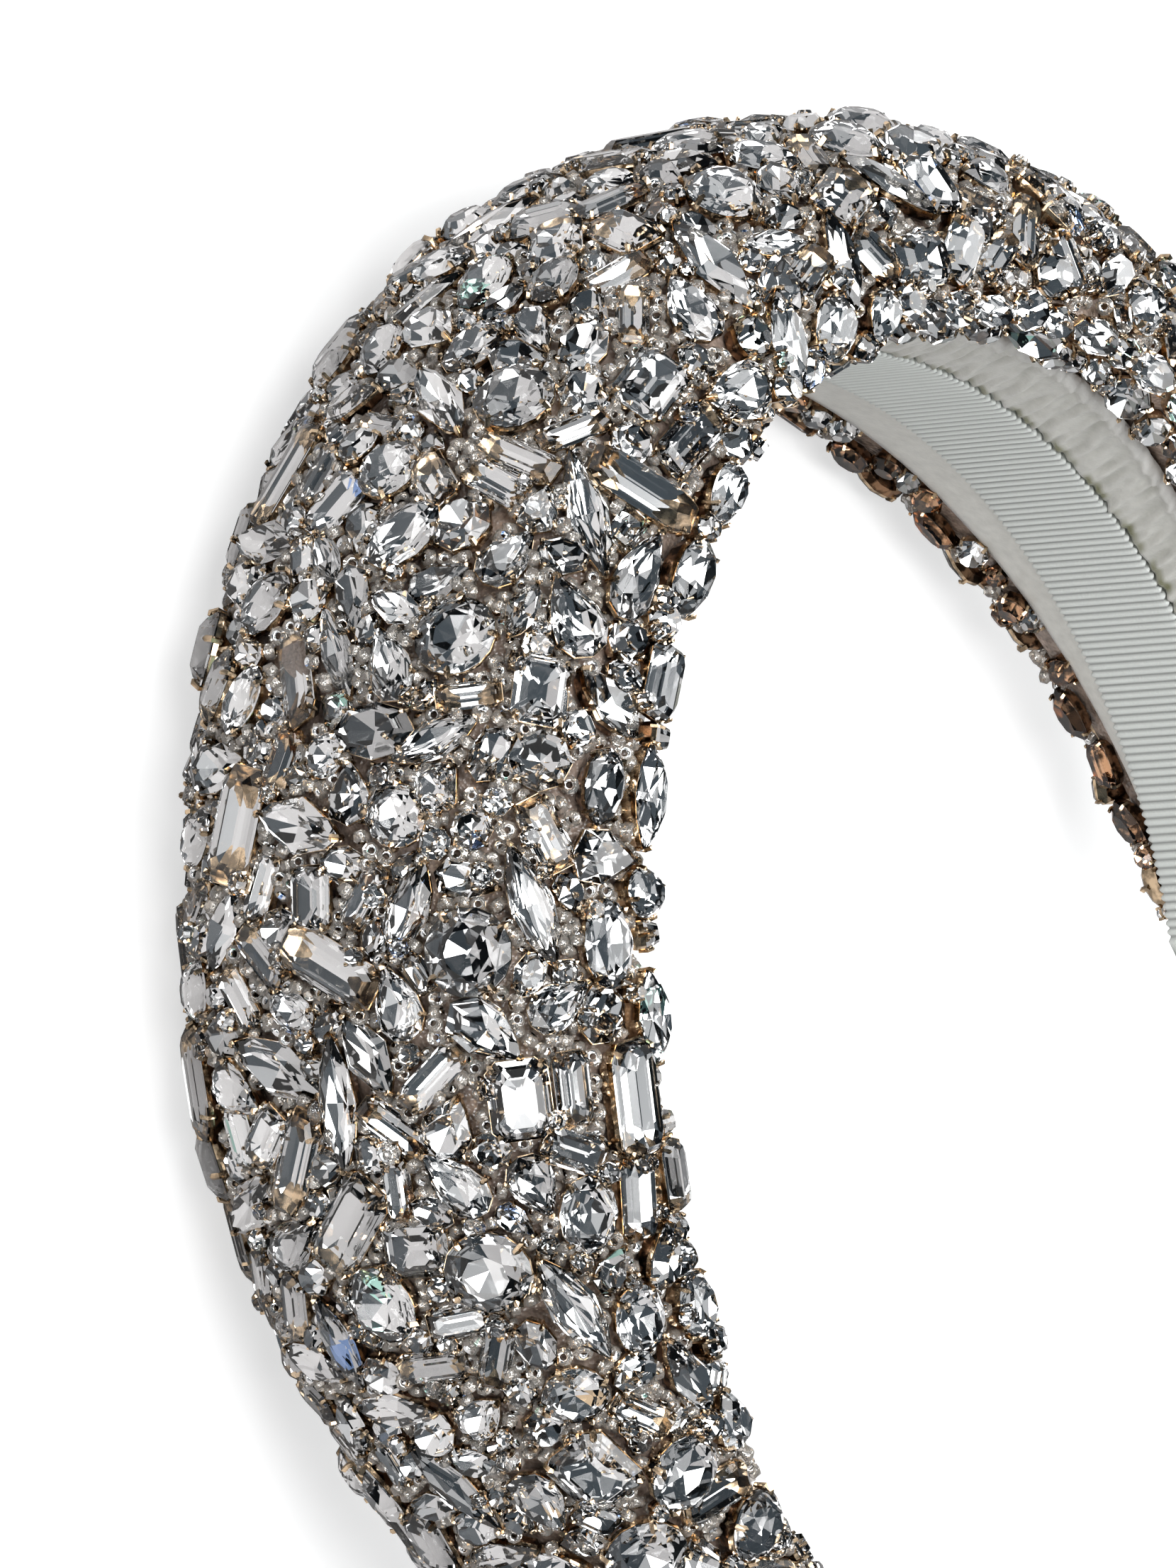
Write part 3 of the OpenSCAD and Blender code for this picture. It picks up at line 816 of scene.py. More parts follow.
# Places tried over the padding: how many, how far along the band to either side, and the girths in degrees
# where they end, at the back edge and at the front edge of the left and of the right arm. The last two
# blend into each other between two angles along the band, in degrees.
FILL_POINTS, FILL_SPAN = 120000, math.radians(123)
FILL_BACK, FILL_LEFT, FILL_RIGHT = -37, 212, 214
FRONT_BLEND = (-10, 35)
# Girths past which only rounds are set, and the half width of the widest: at the back edge, and at the
# front edge of the left and of the right arm
EDGE_GIRTHS = (math.radians(-6), math.radians(186))
EDGE_RADII = (2.0 * MM, 1.6 * MM, 2.3 * MM)
# Share of the skin's turn that stones past the front edge take
FRONT_TURN = 0.2
# Beads end at the first girth under the back edge, and at the second on the right arm's front
BEAD_BACK, BEAD_FRONT = math.radians(-20), math.radians(181)
# How far a stone's tip may pass the edge or an arm's end, and the section's usual radius
TIP_PASS, SECTION_RADIUS = 1.0 * MM, 13.0 * MM
# Rows along the back edge and along the right arm's front edge: from where to where, girth, least and
# greatest length and width, and the gap between two stones
BACK_ROW = {"span": (math.radians(-117), math.radians(117)), "girth": math.radians(-17),
            "lengths": (5.0 * MM, 8.0 * MM), "widths": (3.2 * MM, 4.2 * MM), "gap": 0.3 * MM}
FRONT_ROW = {"span": (math.radians(28), math.radians(113)), "girth": math.radians(184),
             "lengths": (4.5 * MM, 7.0 * MM), "widths": (3.8 * MM, 4.8 * MM), "gap": 1.0 * MM}
# A stone of the chart or of a row is left out where less than this share of its half width is free
KEPT_ROOM = 0.6
# Distances within which stones are looked for, and places brought up to date
NEAR_STONES, NEAR_PLACES = 0.022, 0.02
# Shares of its room that a stone's half width is drawn from, and half widths in mm drawn as its limit
ROOM_SHARES, FILL_RADII = (1.05, 1.3), [3.1, 2.6, 2.2, 1.9]
# Half lengths tried for a stone longer than it is wide, and turns tried for it
REACHES = np.array([0.8, 1.6, 2.4, 3.2, 4.0]) * MM
TURNS = np.radians(np.arange(0, 180, 15))
# Share of a stone's half width that has to be free along its length, and what chance adds to the number
# of half lengths that fit
FREE_SHARE, CHANCE = 0.7, 0.5
# Cuts by their length over width: where each row of them ends, and where each cut's share of a draw ends
CUTS = [(1.18, [(0.8, "round"), (1, "step")]),
        (1.6, [(0.35, "oval"), (0.6, "step"), (1, "pear")]),
        (2.2, [(0.35, "pear"), (0.7, "step"), (1, "navette")]),
        (math.inf, [(0.5, "step"), (1, "navette")])]
# Shares of the largest bead that beads are drawn from
BEAD_SHARES = (0.8, 1.0)
# Rounds sewn over the joints: how many, how far apart, how far inside or outside a stone's outline, how
# far raised, widths in mm, and how far from the edges in radians of girth
JOINT_ROUNDS, JOINT_SPACE = 240, 3.4 * MM
JOINT_DEPTH, JOINT_RAISED = (-0.4 * MM, 0.5 * MM), (0.8 * MM, 1.5 * MM)
JOINT_WIDTHS, JOINT_MARGIN = (1.7, 2.8), 0.15
# How far a tilted stone moves down or up
LIFT = (-0.3 * MM, 0.7 * MM)


def fill_surface(rng):
    """Random places over the padding where a stone or bead may be sewn, as points, directions, girths and
    the room that a stone's tip has along the band and round it."""
    phi = rng.uniform(-FILL_SPAN, FILL_SPAN, FILL_POINTS)
    front = np.interp(np.degrees(phi), FRONT_BLEND, [FILL_LEFT, FILL_RIGHT])
    girth = np.radians(FILL_BACK + (front - FILL_BACK) * rng.random(FILL_POINTS))
    point, along, around, out = sewn_frames(phi, girth)
    ahead = (FILL_SPAN - np.abs(phi)) * shape().head_half_w + TIP_PASS
    beside = np.minimum(girth - EDGE_GIRTHS[0], EDGE_GIRTHS[1] - girth) * SECTION_RADIUS + TIP_PASS
    return (laid(point), laid_direction(along), laid_direction(around), laid_direction(out), girth,
            np.column_stack([ahead, beside]))


def pick_kind(ratio, draw):
    """Cut for a length over width ratio: the first row of cuts that ends above the ratio, and in it the
    first cut that ends above a number drawn from 0 to 1."""
    cuts = next(cuts for end, cuts in CUTS if ratio < end)
    return next(kind for end, kind in cuts if draw < end)


@functools.lru_cache(maxsize=None)
def filling():
    """Small stones and seed beads. The place furthest from all that is there gets the next one, as large
    as fits, and every place's distance is brought up to date. Last, small rounds are sewn over the joints."""
    look, rng = stones(), np.random.default_rng(stones().seed + 1)
    places = fill_surface(rng)
    at, along, _, out, girth, _ = places
    rows = charted_rows() + edge_row(rng, **BACK_ROW) + edge_row(rng, **FRONT_ROW)
    room = clearance(np.array([row[0] for row in rows]), *to_segments(all_frame_seats()))
    rows = [row for row, r in zip(rows, room) if r > KEPT_ROOM * row[5] / 2]
    there = [list(v) for v in to_segments(joined([all_frame_seats(), make_seats(rows, rng)]))]
    free, beads = np.full(len(at), 1.0), []
    for segment in zip(*there):
        lower_free(free, at, *segment)
    joint = free.copy()
    while True:
        i = int(np.argmax(free))
        room = free[i]
        if room < look.least_gap:
            break
        if room >= look.least_stone:
            rows.append(stone_here(rng, [values[i] for values in places], room, there))
            segments = list(zip(*to_segments(make_seats(rows[-1:], rng))))
            for segment in segments:
                lower_free(joint, at, *segment)
        elif girth[i] < BEAD_BACK or (girth[i] > BEAD_FRONT and at[i, 0] > 0):
            free[i] = 0.0
            continue
        else:
            r = min(room + look.squeeze, look.bead * rng.uniform(*BEAD_SHARES))
            beads.append((at[i], out[i], r))
            segments = [(at[i], at[i], r)]
        for segment in segments:
            lower_free(free, at, *segment)
            for values, value in zip(there, segment):
                values.append(value)
    rows += over_joints(joint, at, along, out, girth, rng)
    return make_seats(rows, rng), beads


def stone_here(rng, place_of, room, there):
    """Row of a stone for a place. Each turn is tried with half lengths that grow for as long as both tips
    are free and inside the edges, and the one that grows furthest is taken. Past an edge it is a round."""
    at, along, around, out, girth, tip_room = place_of
    start, end, radius = (np.array(v) for v in there)
    r = min(room * rng.uniform(*ROOM_SHARES), rng.choice(FILL_RADII) * MM)
    past_edge = not EDGE_GIRTHS[0] < girth < EDGE_GIRTHS[1]
    if past_edge:
        r = min(r, EDGE_RADII[0 if girth < 1 else 2 if at[0] > 0 else 1])
    close = np.flatnonzero((((start + end) / 2 - at) ** 2).sum(axis=1) < NEAR_STONES ** 2)
    turns = np.cos(TURNS)[:, None] * along + np.sin(TURNS)[:, None] * around
    both_ways = np.array([1, -1])[:, None, None, None]
    tries = at + (REACHES[None, :, None] * turns[:, None])[None] * both_ways
    room_at = clearance(tries.reshape(-1, 3), start[close], end[close], radius[close])
    room_at = room_at.reshape(2, len(TURNS), len(REACHES)).min(axis=0)
    tips = REACHES[None] * np.abs(np.stack([np.cos(TURNS), np.sin(TURNS)]))[..., None]
    inside = (tips + r < tip_room[:, None, None]).all(axis=0)
    fits = np.cumprod((room_at > FREE_SHARE * r) & inside, axis=1).sum(axis=1)
    best = int(np.argmax(fits + rng.random(len(TURNS)) * CHANCE))
    reach = REACHES[fits[best] - 1] if fits[best] else 0.0
    kind = "round" if past_edge else pick_kind((reach + r) / r, rng.random())
    if kind == "round":
        reach = 0.0
    return seat_row(at, turns[best], out, 2 * (reach + r), 2 * r, kind, girth)


def lower_free(free, at, a, b, r):
    """Brings every place's distance up to date for one more thick segment from a to b with radius r."""
    near = np.flatnonzero(((at - (a + b) / 2) ** 2).sum(axis=1) < NEAR_PLACES ** 2)
    free[near] = np.minimum(free[near], clearance(at[near], a[None], b[None], np.array([r])))


def over_joints(joint, at, along, out, girth, rng):
    """Small rounds raised over the joints between stones, each clear of the others."""
    low, high = JOINT_DEPTH
    spots, rows = np.empty((0, 3)), []
    inside = (girth > EDGE_GIRTHS[0] + JOINT_MARGIN) & (girth < EDGE_GIRTHS[1] - JOINT_MARGIN)
    for i in rng.permutation(np.flatnonzero((joint > low) & (joint < high) & inside)):
        if len(rows) == JOINT_ROUNDS:
            break
        if len(spots) and ((spots - at[i]) ** 2).sum(axis=1).min() < JOINT_SPACE ** 2:
            continue
        spots = np.concatenate([spots, at[i:i + 1]])
        width = rng.uniform(*JOINT_WIDTHS) * MM
        raised = at[i] + out[i] * rng.uniform(*JOINT_RAISED)
        rows.append(seat_row(raised, along[i], out[i], width, width, "round", girth[i]))
    return rows


def tilted(seats, rng, amount):
    """Seats turned a little about their own length and width, and moved up or down, as sewn stones are."""
    about_long, about_wide = rng.normal(0, amount, (2, len(seats["at"]), 1))
    lift = rng.uniform(*LIFT, (len(seats["at"]), 1)) * amount / stones().tilt
    up = unit(seats["up"] + about_long * seats["wide"] + about_wide * seats["long"])
    long = unit(seats["long"] - up * (seats["long"] * up).sum(axis=1, keepdims=True))
    return dict(seats, up=up, long=long, wide=np.cross(up, long), at=seats["at"] + up * lift)


# Materials

# Sockets of a colour Mix node: its factor, its two colours and its result
MIX_FACTOR, MIX_A, MIX_B, MIX_RESULT = 0, 6, 7, 2
# Height of the threads' bump
THREAD_HEIGHT = 0.00025
# Painted fire: tints of a stone's facets that stand in for the coloured flashes of dispersion, from the place
# in a random number's range where each starts
PAINTED_FIRE = [(0.0, (1, 1, 1)), (0.984, (0.40, 0.58, 1.0)), (0.990, (1.0, 0.76, 0.50)),
        (0.995, (0.62, 1.0, 0.88)), (0.998, (0.62, 0.50, 1.0))]


def set_inputs(node, values):
    """Sets a node's own sockets by name."""
    for key, value in values.items():
        node.inputs[key].default_value = value


def new_material(name):
    """A node material with its tree and its Principled shader."""
    made = bpy.data.materials.new(name)
    made.use_nodes = True
    return made, made.node_tree, made.node_tree.nodes["Principled BSDF"]


def add_node(tree, kind, **settings):
    """A node with its settings."""
    made = tree.nodes.new(kind)
    for key, value in settings.items():
        setattr(made, key, value)
    return made


def set_ramp(ramp, stops, steps=False):
    """Puts (position, colour) stops into a colour ramp, with flat steps where asked."""
    elements = ramp.color_ramp.elements
    ramp.color_ramp.interpolation = "CONSTANT" if steps else "LINEAR"
    while len(elements) < len(stops):
        elements.new(1.0)
    for element, (position, colour) in zip(elements, stops):
        element.position = position
        element.color = (*colour, 1)


def new_group(name, inputs, outputs):
    """A shader node group with named inputs, (name, type, default), and named outputs."""
    tree = bpy.data.node_groups.new(name, "ShaderNodeTree")
    for label, kind, default in inputs:
        socket = tree.interface.new_socket(name=label, in_out="INPUT", socket_type=kind)
        if default is not None:
            socket.default_value = default
    for label, kind in outputs:
        tree.interface.new_socket(name=label, in_out="OUTPUT", socket_type=kind)
    return tree, tree.nodes.new("NodeGroupInput"), tree.nodes.new("NodeGroupOutput")


def mottle_group():
    """Two colours mixed by noise; Spread is how far the noise is from its middle where one is pure."""
    tree, given, result = new_group(
        "mottle", [("Scale", "NodeSocketFloat", 300.0), ("Spread", "NodeSocketFloat", 0.2),
                   ("Dark", "NodeSocketColor", None), ("Light", "NodeSocketColor", None)],
        [("Color", "NodeSocketColor")])
    place_in = add_node(tree, "ShaderNodeTexCoord")
    noise = add_node(tree, "ShaderNodeTexNoise")
    noise.inputs["Detail"].default_value = 3.0
    low = add_node(tree, "ShaderNodeMath", operation="SUBTRACT")
    high = add_node(tree, "ShaderNodeMath", operation="ADD")
    low.inputs[0].default_value = high.inputs[0].default_value = 0.5
    span = add_node(tree, "ShaderNodeMapRange")
    mix = add_node(tree, "ShaderNodeMix", data_type="RGBA")
    link = tree.links.new
    link(place_in.outputs["Object"], noise.inputs["Vector"])
    link(given.outputs["Scale"], noise.inputs["Scale"])
    link(given.outputs["Spread"], low.inputs[1])
    link(given.outputs["Spread"], high.inputs[1])
    link(noise.outputs["Fac"], span.inputs["Value"])
    link(low.outputs[0], span.inputs["From Min"])
    link(high.outputs[0], span.inputs["From Max"])
    link(span.outputs["Result"], mix.inputs["Factor"])
    link(given.outputs["Dark"], mix.inputs[MIX_A])
    link(given.outputs["Light"], mix.inputs[MIX_B])
    link(mix.outputs[MIX_RESULT], result.inputs["Color"])
    return tree


def threads_group():
    """Normal of fine threads: the distance from the middle of the nearest of many small cells, as bump."""
    tree, given, result = new_group(
        "threads", [("Scale", "NodeSocketFloat", 1500.0), ("Strength", "NodeSocketFloat", 0.3)],
        [("Normal", "NodeSocketVector")])
    place_in = add_node(tree, "ShaderNodeTexCoord")
    cells = add_node(tree, "ShaderNodeTexVoronoi")
    bump = add_node(tree, "ShaderNodeBump")
    bump.inputs["Distance"].default_value = THREAD_HEIGHT
    link = tree.links.new
    link(place_in.outputs["Object"], cells.inputs["Vector"])
    link(given.outputs["Scale"], cells.inputs["Scale"])
    link(given.outputs["Strength"], bump.inputs["Strength"])
    link(cells.outputs["Distance"], bump.inputs["Height"])
    link(bump.outputs["Normal"], result.inputs["Normal"])
    return tree


def painted_fire_group():
    """Painted fire: a tint of a stone's facets by each one's random number, standing in for the coloured
    flashes of dispersion. Nearly all are plain, and a few are tinted blue, orange, green or violet."""
    tree, given, result = new_group(
        "painted_fire", [("Plain", "NodeSocketColor", None)], [("Color", "NodeSocketColor")])
    mark = add_node(tree, "ShaderNodeAttribute", attribute_name="painted_fire")
    tint = add_node(tree, "ShaderNodeValToRGB")
    set_ramp(tint, PAINTED_FIRE, steps=True)
    mix = add_node(tree, "ShaderNodeMix", data_type="RGBA", blend_type="MULTIPLY")
    mix.inputs[MIX_FACTOR].default_value = 1.0
    link = tree.links.new
    link(mark.outputs["Fac"], tint.inputs["Fac"])
    link(given.outputs["Plain"], mix.inputs[MIX_A])
    link(tint.outputs["Color"], mix.inputs[MIX_B])
    link(mix.outputs[MIX_RESULT], result.inputs["Color"])
    return tree


GROUP_MAKERS = {"mottle": mottle_group, "threads": threads_group, "painted_fire": painted_fire_group}


def use_group(tree, name, **values):
    """A group's node in a tree, with its named inputs set. The group is made once."""
    made = tree.nodes.new("ShaderNodeGroup")
    made.node_tree = bpy.data.node_groups.get(name) or GROUP_MAKERS[name]()
    for key, value in values.items():
        made.inputs[key].default_value = (*value, 1) if isinstance(value, tuple) else value
    return made


def shade(colour, share):
    """A colour made darker or lighter by a share."""
    return tuple(min(c * share, 1.0) for c in colour)


def crystal_material():
    """Clear cut glass."""
    made, _, shader = new_material("clear_crystal")
    set_inputs(shader, {"Base Color": (1, 1, 1, 1), "Roughness": 0.0, "IOR": 1.56,
                        "Transmission Weight": 1.0})
    return made


def bead_material():
    """Milky champagne glass of the seed beads."""
    made, _, shader = new_material("bead_glass")
    set_inputs(shader, {"Base Color": (*stones().bead_colour, 1), "Roughness": 0.02, "IOR": 1.5,
                        "Transmission Weight": 0.86})
    return made


def foil_material():
    """Silver foil under a stone's girdle, brighter or smokier from stone to stone, with a little painted
    fire:
    tints on a few facets that stand in for the coloured flashes of dispersion.
    """
    made, tree, shader = new_material("silver_foil")
    tone = add_node(tree, "ShaderNodeAttribute", attribute_name="tone")
    ramp = add_node(tree, "ShaderNodeValToRGB")
    foil = stones().foil_colour
    set_ramp(ramp, [(0.0, shade(foil, 0.55)), (0.45, shade(foil, 0.86)), (1.0, tuple(foil))])
    # Painted fire: a few foil facets get coloured tints that stand in for dispersion
    painted_fire = use_group(tree, "painted_fire")
    tree.links.new(tone.outputs["Fac"], ramp.inputs["Fac"])
    tree.links.new(ramp.outputs["Color"], painted_fire.inputs["Plain"])
    tree.links.new(painted_fire.outputs["Color"], shader.inputs["Base Color"])
    set_inputs(shader, {"Metallic": 1.0, "Roughness": 0.04})
    return made


def mottled(name, colour, scale, spread, dark, light):
    """A material mottled between a dark and a light share of a colour, with its tree and its shader."""
    made, tree, shader = new_material(name)
    mottle = use_group(tree, "mottle", Scale=scale, Spread=spread, Dark=shade(colour, dark),
                       Light=shade(colour, light))
    tree.links.new(mottle.outputs["Color"], shader.inputs["Base Color"])
    return made, tree, shader


def cup_material():
    """Pale gold plating of the claw cups, duller in patches."""
    made, _, shader = mottled("pale_gold", stones().metal_colour, 700.0, 0.08, 0.35, 1.0)
    set_inputs(shader, {"Metallic": 1.0, "Roughness": 0.12})
    return made


def back_material():
    """Copper lacquer on the stones' backs, seen through the open cups."""
    made, _, shader = mottled("copper_back", stones().back_colour, 650.0, 0.05, 0.12, 1.3)
    set_inputs(shader, {"Metallic": 1.0, "Roughness": 0.25})
    return made


def backed_foil_material():
    """Foil of the stones over the back edge, seen from behind: copper in dark and bright patches."""
    made, _, shader = mottled("backed_foil", stones().back_colour, 420.0, 0.05, 0.3, 3.4)
    set_inputs(shader, {"Metallic": 1.0, "Roughness": 0.08})
    return made


def net_material():
    """Nude net soaked with glue: mottled brown threads with a glossy film."""
    made, tree, shader = mottled("nude_net", cloth().net_colour, 600.0, 0.22, 0.5, 1.7)
    threads = use_group(tree, "threads", Scale=2200.0, Strength=0.6)
    tree.links.new(threads.outputs["Normal"], shader.inputs["Normal"])
    set_inputs(shader, {"Roughness": 0.16, "IOR": 1.7})
    return made


def satin_material():
    """Grey satin: fine threads, painted shade in the gathers' hollows and painted light on their crests and
    over the back side, glue by the ribbon's front edge and paler edges.
    """
    made, tree, shader = new_material("grey_satin")
    satin = cloth().satin_colour
    mottle = use_group(tree, "mottle", Scale=700.0, Spread=0.25, Dark=shade(satin, 0.88),
                       Light=shade(satin, 1.08))
    threads = use_group(tree, "threads", Scale=2600.0, Strength=0.2)
    # The fold mark carries painted shade and light: the ramp darkens the colour to 0.78 in the gathers'
    # hollows and lightens it to 1.25 over the back side
    fold = add_node(tree, "ShaderNodeAttribute", attribute_name="fold")
    depth = add_node(tree, "ShaderNodeMix", data_type="RGBA", blend_type="MULTIPLY")
    depth.inputs[MIX_FACTOR].default_value = 1.0
    ramp = add_node(tree, "ShaderNodeValToRGB")
    set_ramp(ramp, [(0.0, (0.78, 0.78, 0.76)), (0.5, (0.98, 0.98, 0.98)), (0.75, (1, 1, 1)),
                    (1.0, (1.25, 1.25, 1.26))])
    tree.links.new(fold.outputs["Fac"], ramp.inputs["Fac"])
    tree.links.new(mottle.outputs["Color"], depth.inputs[MIX_A])
    tree.links.new(ramp.outputs["Color"], depth.inputs[MIX_B])
    last = depth.outputs[MIX_RESULT]
    for key, colour in (("edge", cloth().edge_colour), ("glue", cloth().glue_colour)):
        mask = add_node(tree, "ShaderNodeAttribute", attribute_name=key)
        mix = add_node(tree, "ShaderNodeMix", data_type="RGBA")
        mix.inputs[MIX_B].default_value = (*colour, 1)
        tree.links.new(mask.outputs["Fac"], mix.inputs[MIX_FACTOR])
        tree.links.new(last, mix.inputs[MIX_A])
        last = mix.outputs[MIX_RESULT]
    tree.links.new(last, shader.inputs["Base Color"])
    tree.links.new(threads.outputs["Normal"], shader.inputs["Normal"])
    set_inputs(shader, {"Roughness": 0.4, "Sheen Weight": 0.2})
    return made


def ribbon_material():
    """Pale grosgrain, with painted shade in the grooves between its ribs."""
    made, tree, shader = new_material("grosgrain")
    pale = tuple(cloth().ribbon_colour)
    # The tone read here is painted shade: low in the grooves between the ribs, where the colour is darkened
    height = add_node(tree, "ShaderNodeAttribute", attribute_name="tone")
    ramp = add_node(tree, "ShaderNodeValToRGB")
    set_ramp(ramp, [(0.0, shade(pale, 0.34)), (0.4, shade(pale, 0.74)), (0.85, pale)])
    threads = use_group(tree, "threads", Scale=3200.0, Strength=0.25)
    tree.links.new(height.outputs["Fac"], ramp.inputs["Fac"])
    tree.links.new(ramp.outputs["Color"], shader.inputs["Base Color"])
    tree.links.new(threads.outputs["Normal"], shader.inputs["Normal"])
    set_inputs(shader, {"Roughness": 0.6, "Sheen Weight": 0.15})
    return made


# What makes each material, and the materials of a stone, of a cup and of a bead
MAKERS = {"clear_crystal": crystal_material, "silver_foil": foil_material, "bead_glass": bead_material,
          "pale_gold": cup_material, "copper_back": back_material, "backed_foil": backed_foil_material,
          "nude_net": net_material, "grey_satin": satin_material, "grosgrain": ribbon_material}
STONE_FINISHES = ["clear_crystal", "silver_foil", "backed_foil"]
CUP_FINISHES = ["pale_gold", "copper_back"]
BEAD_FINISHES = ["bead_glass", "silver_foil"]


def material(name):
    """A named material, made once."""
    return bpy.data.materials.get(name) or MAKERS[name]()


# Pieces

# Rounded ends of the padding: degrees past its end, and the share of the section left there
PAD_ENDS = np.array([[2.4, 0.30], [2.0, 0.55], [1.2, 0.86], [0.5, 0.97]])
# Rings along the padding, and points in each
PAD_RINGS, PAD_POINTS = 260, 96


class HEADBAND_OT_padding_cloth(bpy.types.Operator):
    """Net-covered foam with rounded ends"""
    bl_idname = "headband.padding_cloth"
    bl_label = "Padding cloth"

    def execute(self, context):
        """The skin on a grid of angles along the band and round it, with smaller rings past its ends."""
        s = shape()
        past, share = np.radians(PAD_ENDS[:, 0]), PAD_ENDS[:, 1]
        phi = np.concatenate([-s.pad_end - past, np.linspace(-s.pad_end, s.pad_end, PAD_RINGS),
                              s.pad_end + past[::-1]])
        size = np.concatenate([share, np.ones(PAD_RINGS), share[::-1]])
        girth = np.linspace(0, 2 * math.pi, PAD_POINTS, endpoint=False)
        points, faces = closed_tube(laid(skin(phi[:, None], girth[None], size[:, None])))
        piece = add_piece("padding_cloth", points, faces, ["nude_net"], smooth=True)
        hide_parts("padding")
        return {"FINISHED"}


# Rows of the lining along the band, columns of its front and back stretches, and angle that it ends
# before the padding
LINING_ROWS, FRONT_COLUMNS, BACK_COLUMNS, LINING_SHORT = 1400, 22, 10, math.radians(1)
# How far inside the padding's inner face the lining's outer side and its smooth inner side lie, and every
# which column the outer side has
LINING_OUTER, LINING_INNER, OUTER_STEP = 0.2 * MM, 1.1 * MM, 4
# Columns under the ribbon in shares of its half width, which stops short of the ribbon's edge and of the
# strip's own edge
UNDER_COLUMNS, UNDER_SHORT, UNDER_SHARE = np.array([[-0.96, 0.0, 0.96]]), 0.2 * MM, 0.97
# Way from the ribbon to the strip's edge, out of 1, over which gathers start, and over which they end
START_WAY, END_WAY = 0.03, 0.1
# Gathers left at the strip's edge out of 1, and gathers and swell of its back side out of the front's, and
# the painted light that makes its back side paler
EDGE_GATHERS, BACK_GATHERS, BACK_SWELL, BACK_PAINTED_LIGHT = 0.3, 0.06, 0.5, 0.5
# What the swell loses on its way to the edge, and the power that it goes by
SWELL_LOSS, SWELL_POWER = 0.8, 1.5
# Way over which the front edge is rolled, and width of the paler edge
ROLL_WAY, PALE_EDGE = 0.2, 1.5 * MM
# Middle of the glue line past the ribbon's edge, and its half width
GLUE_MIDDLE, GLUE_HALF = 0.5 * MM, 0.8 * MM


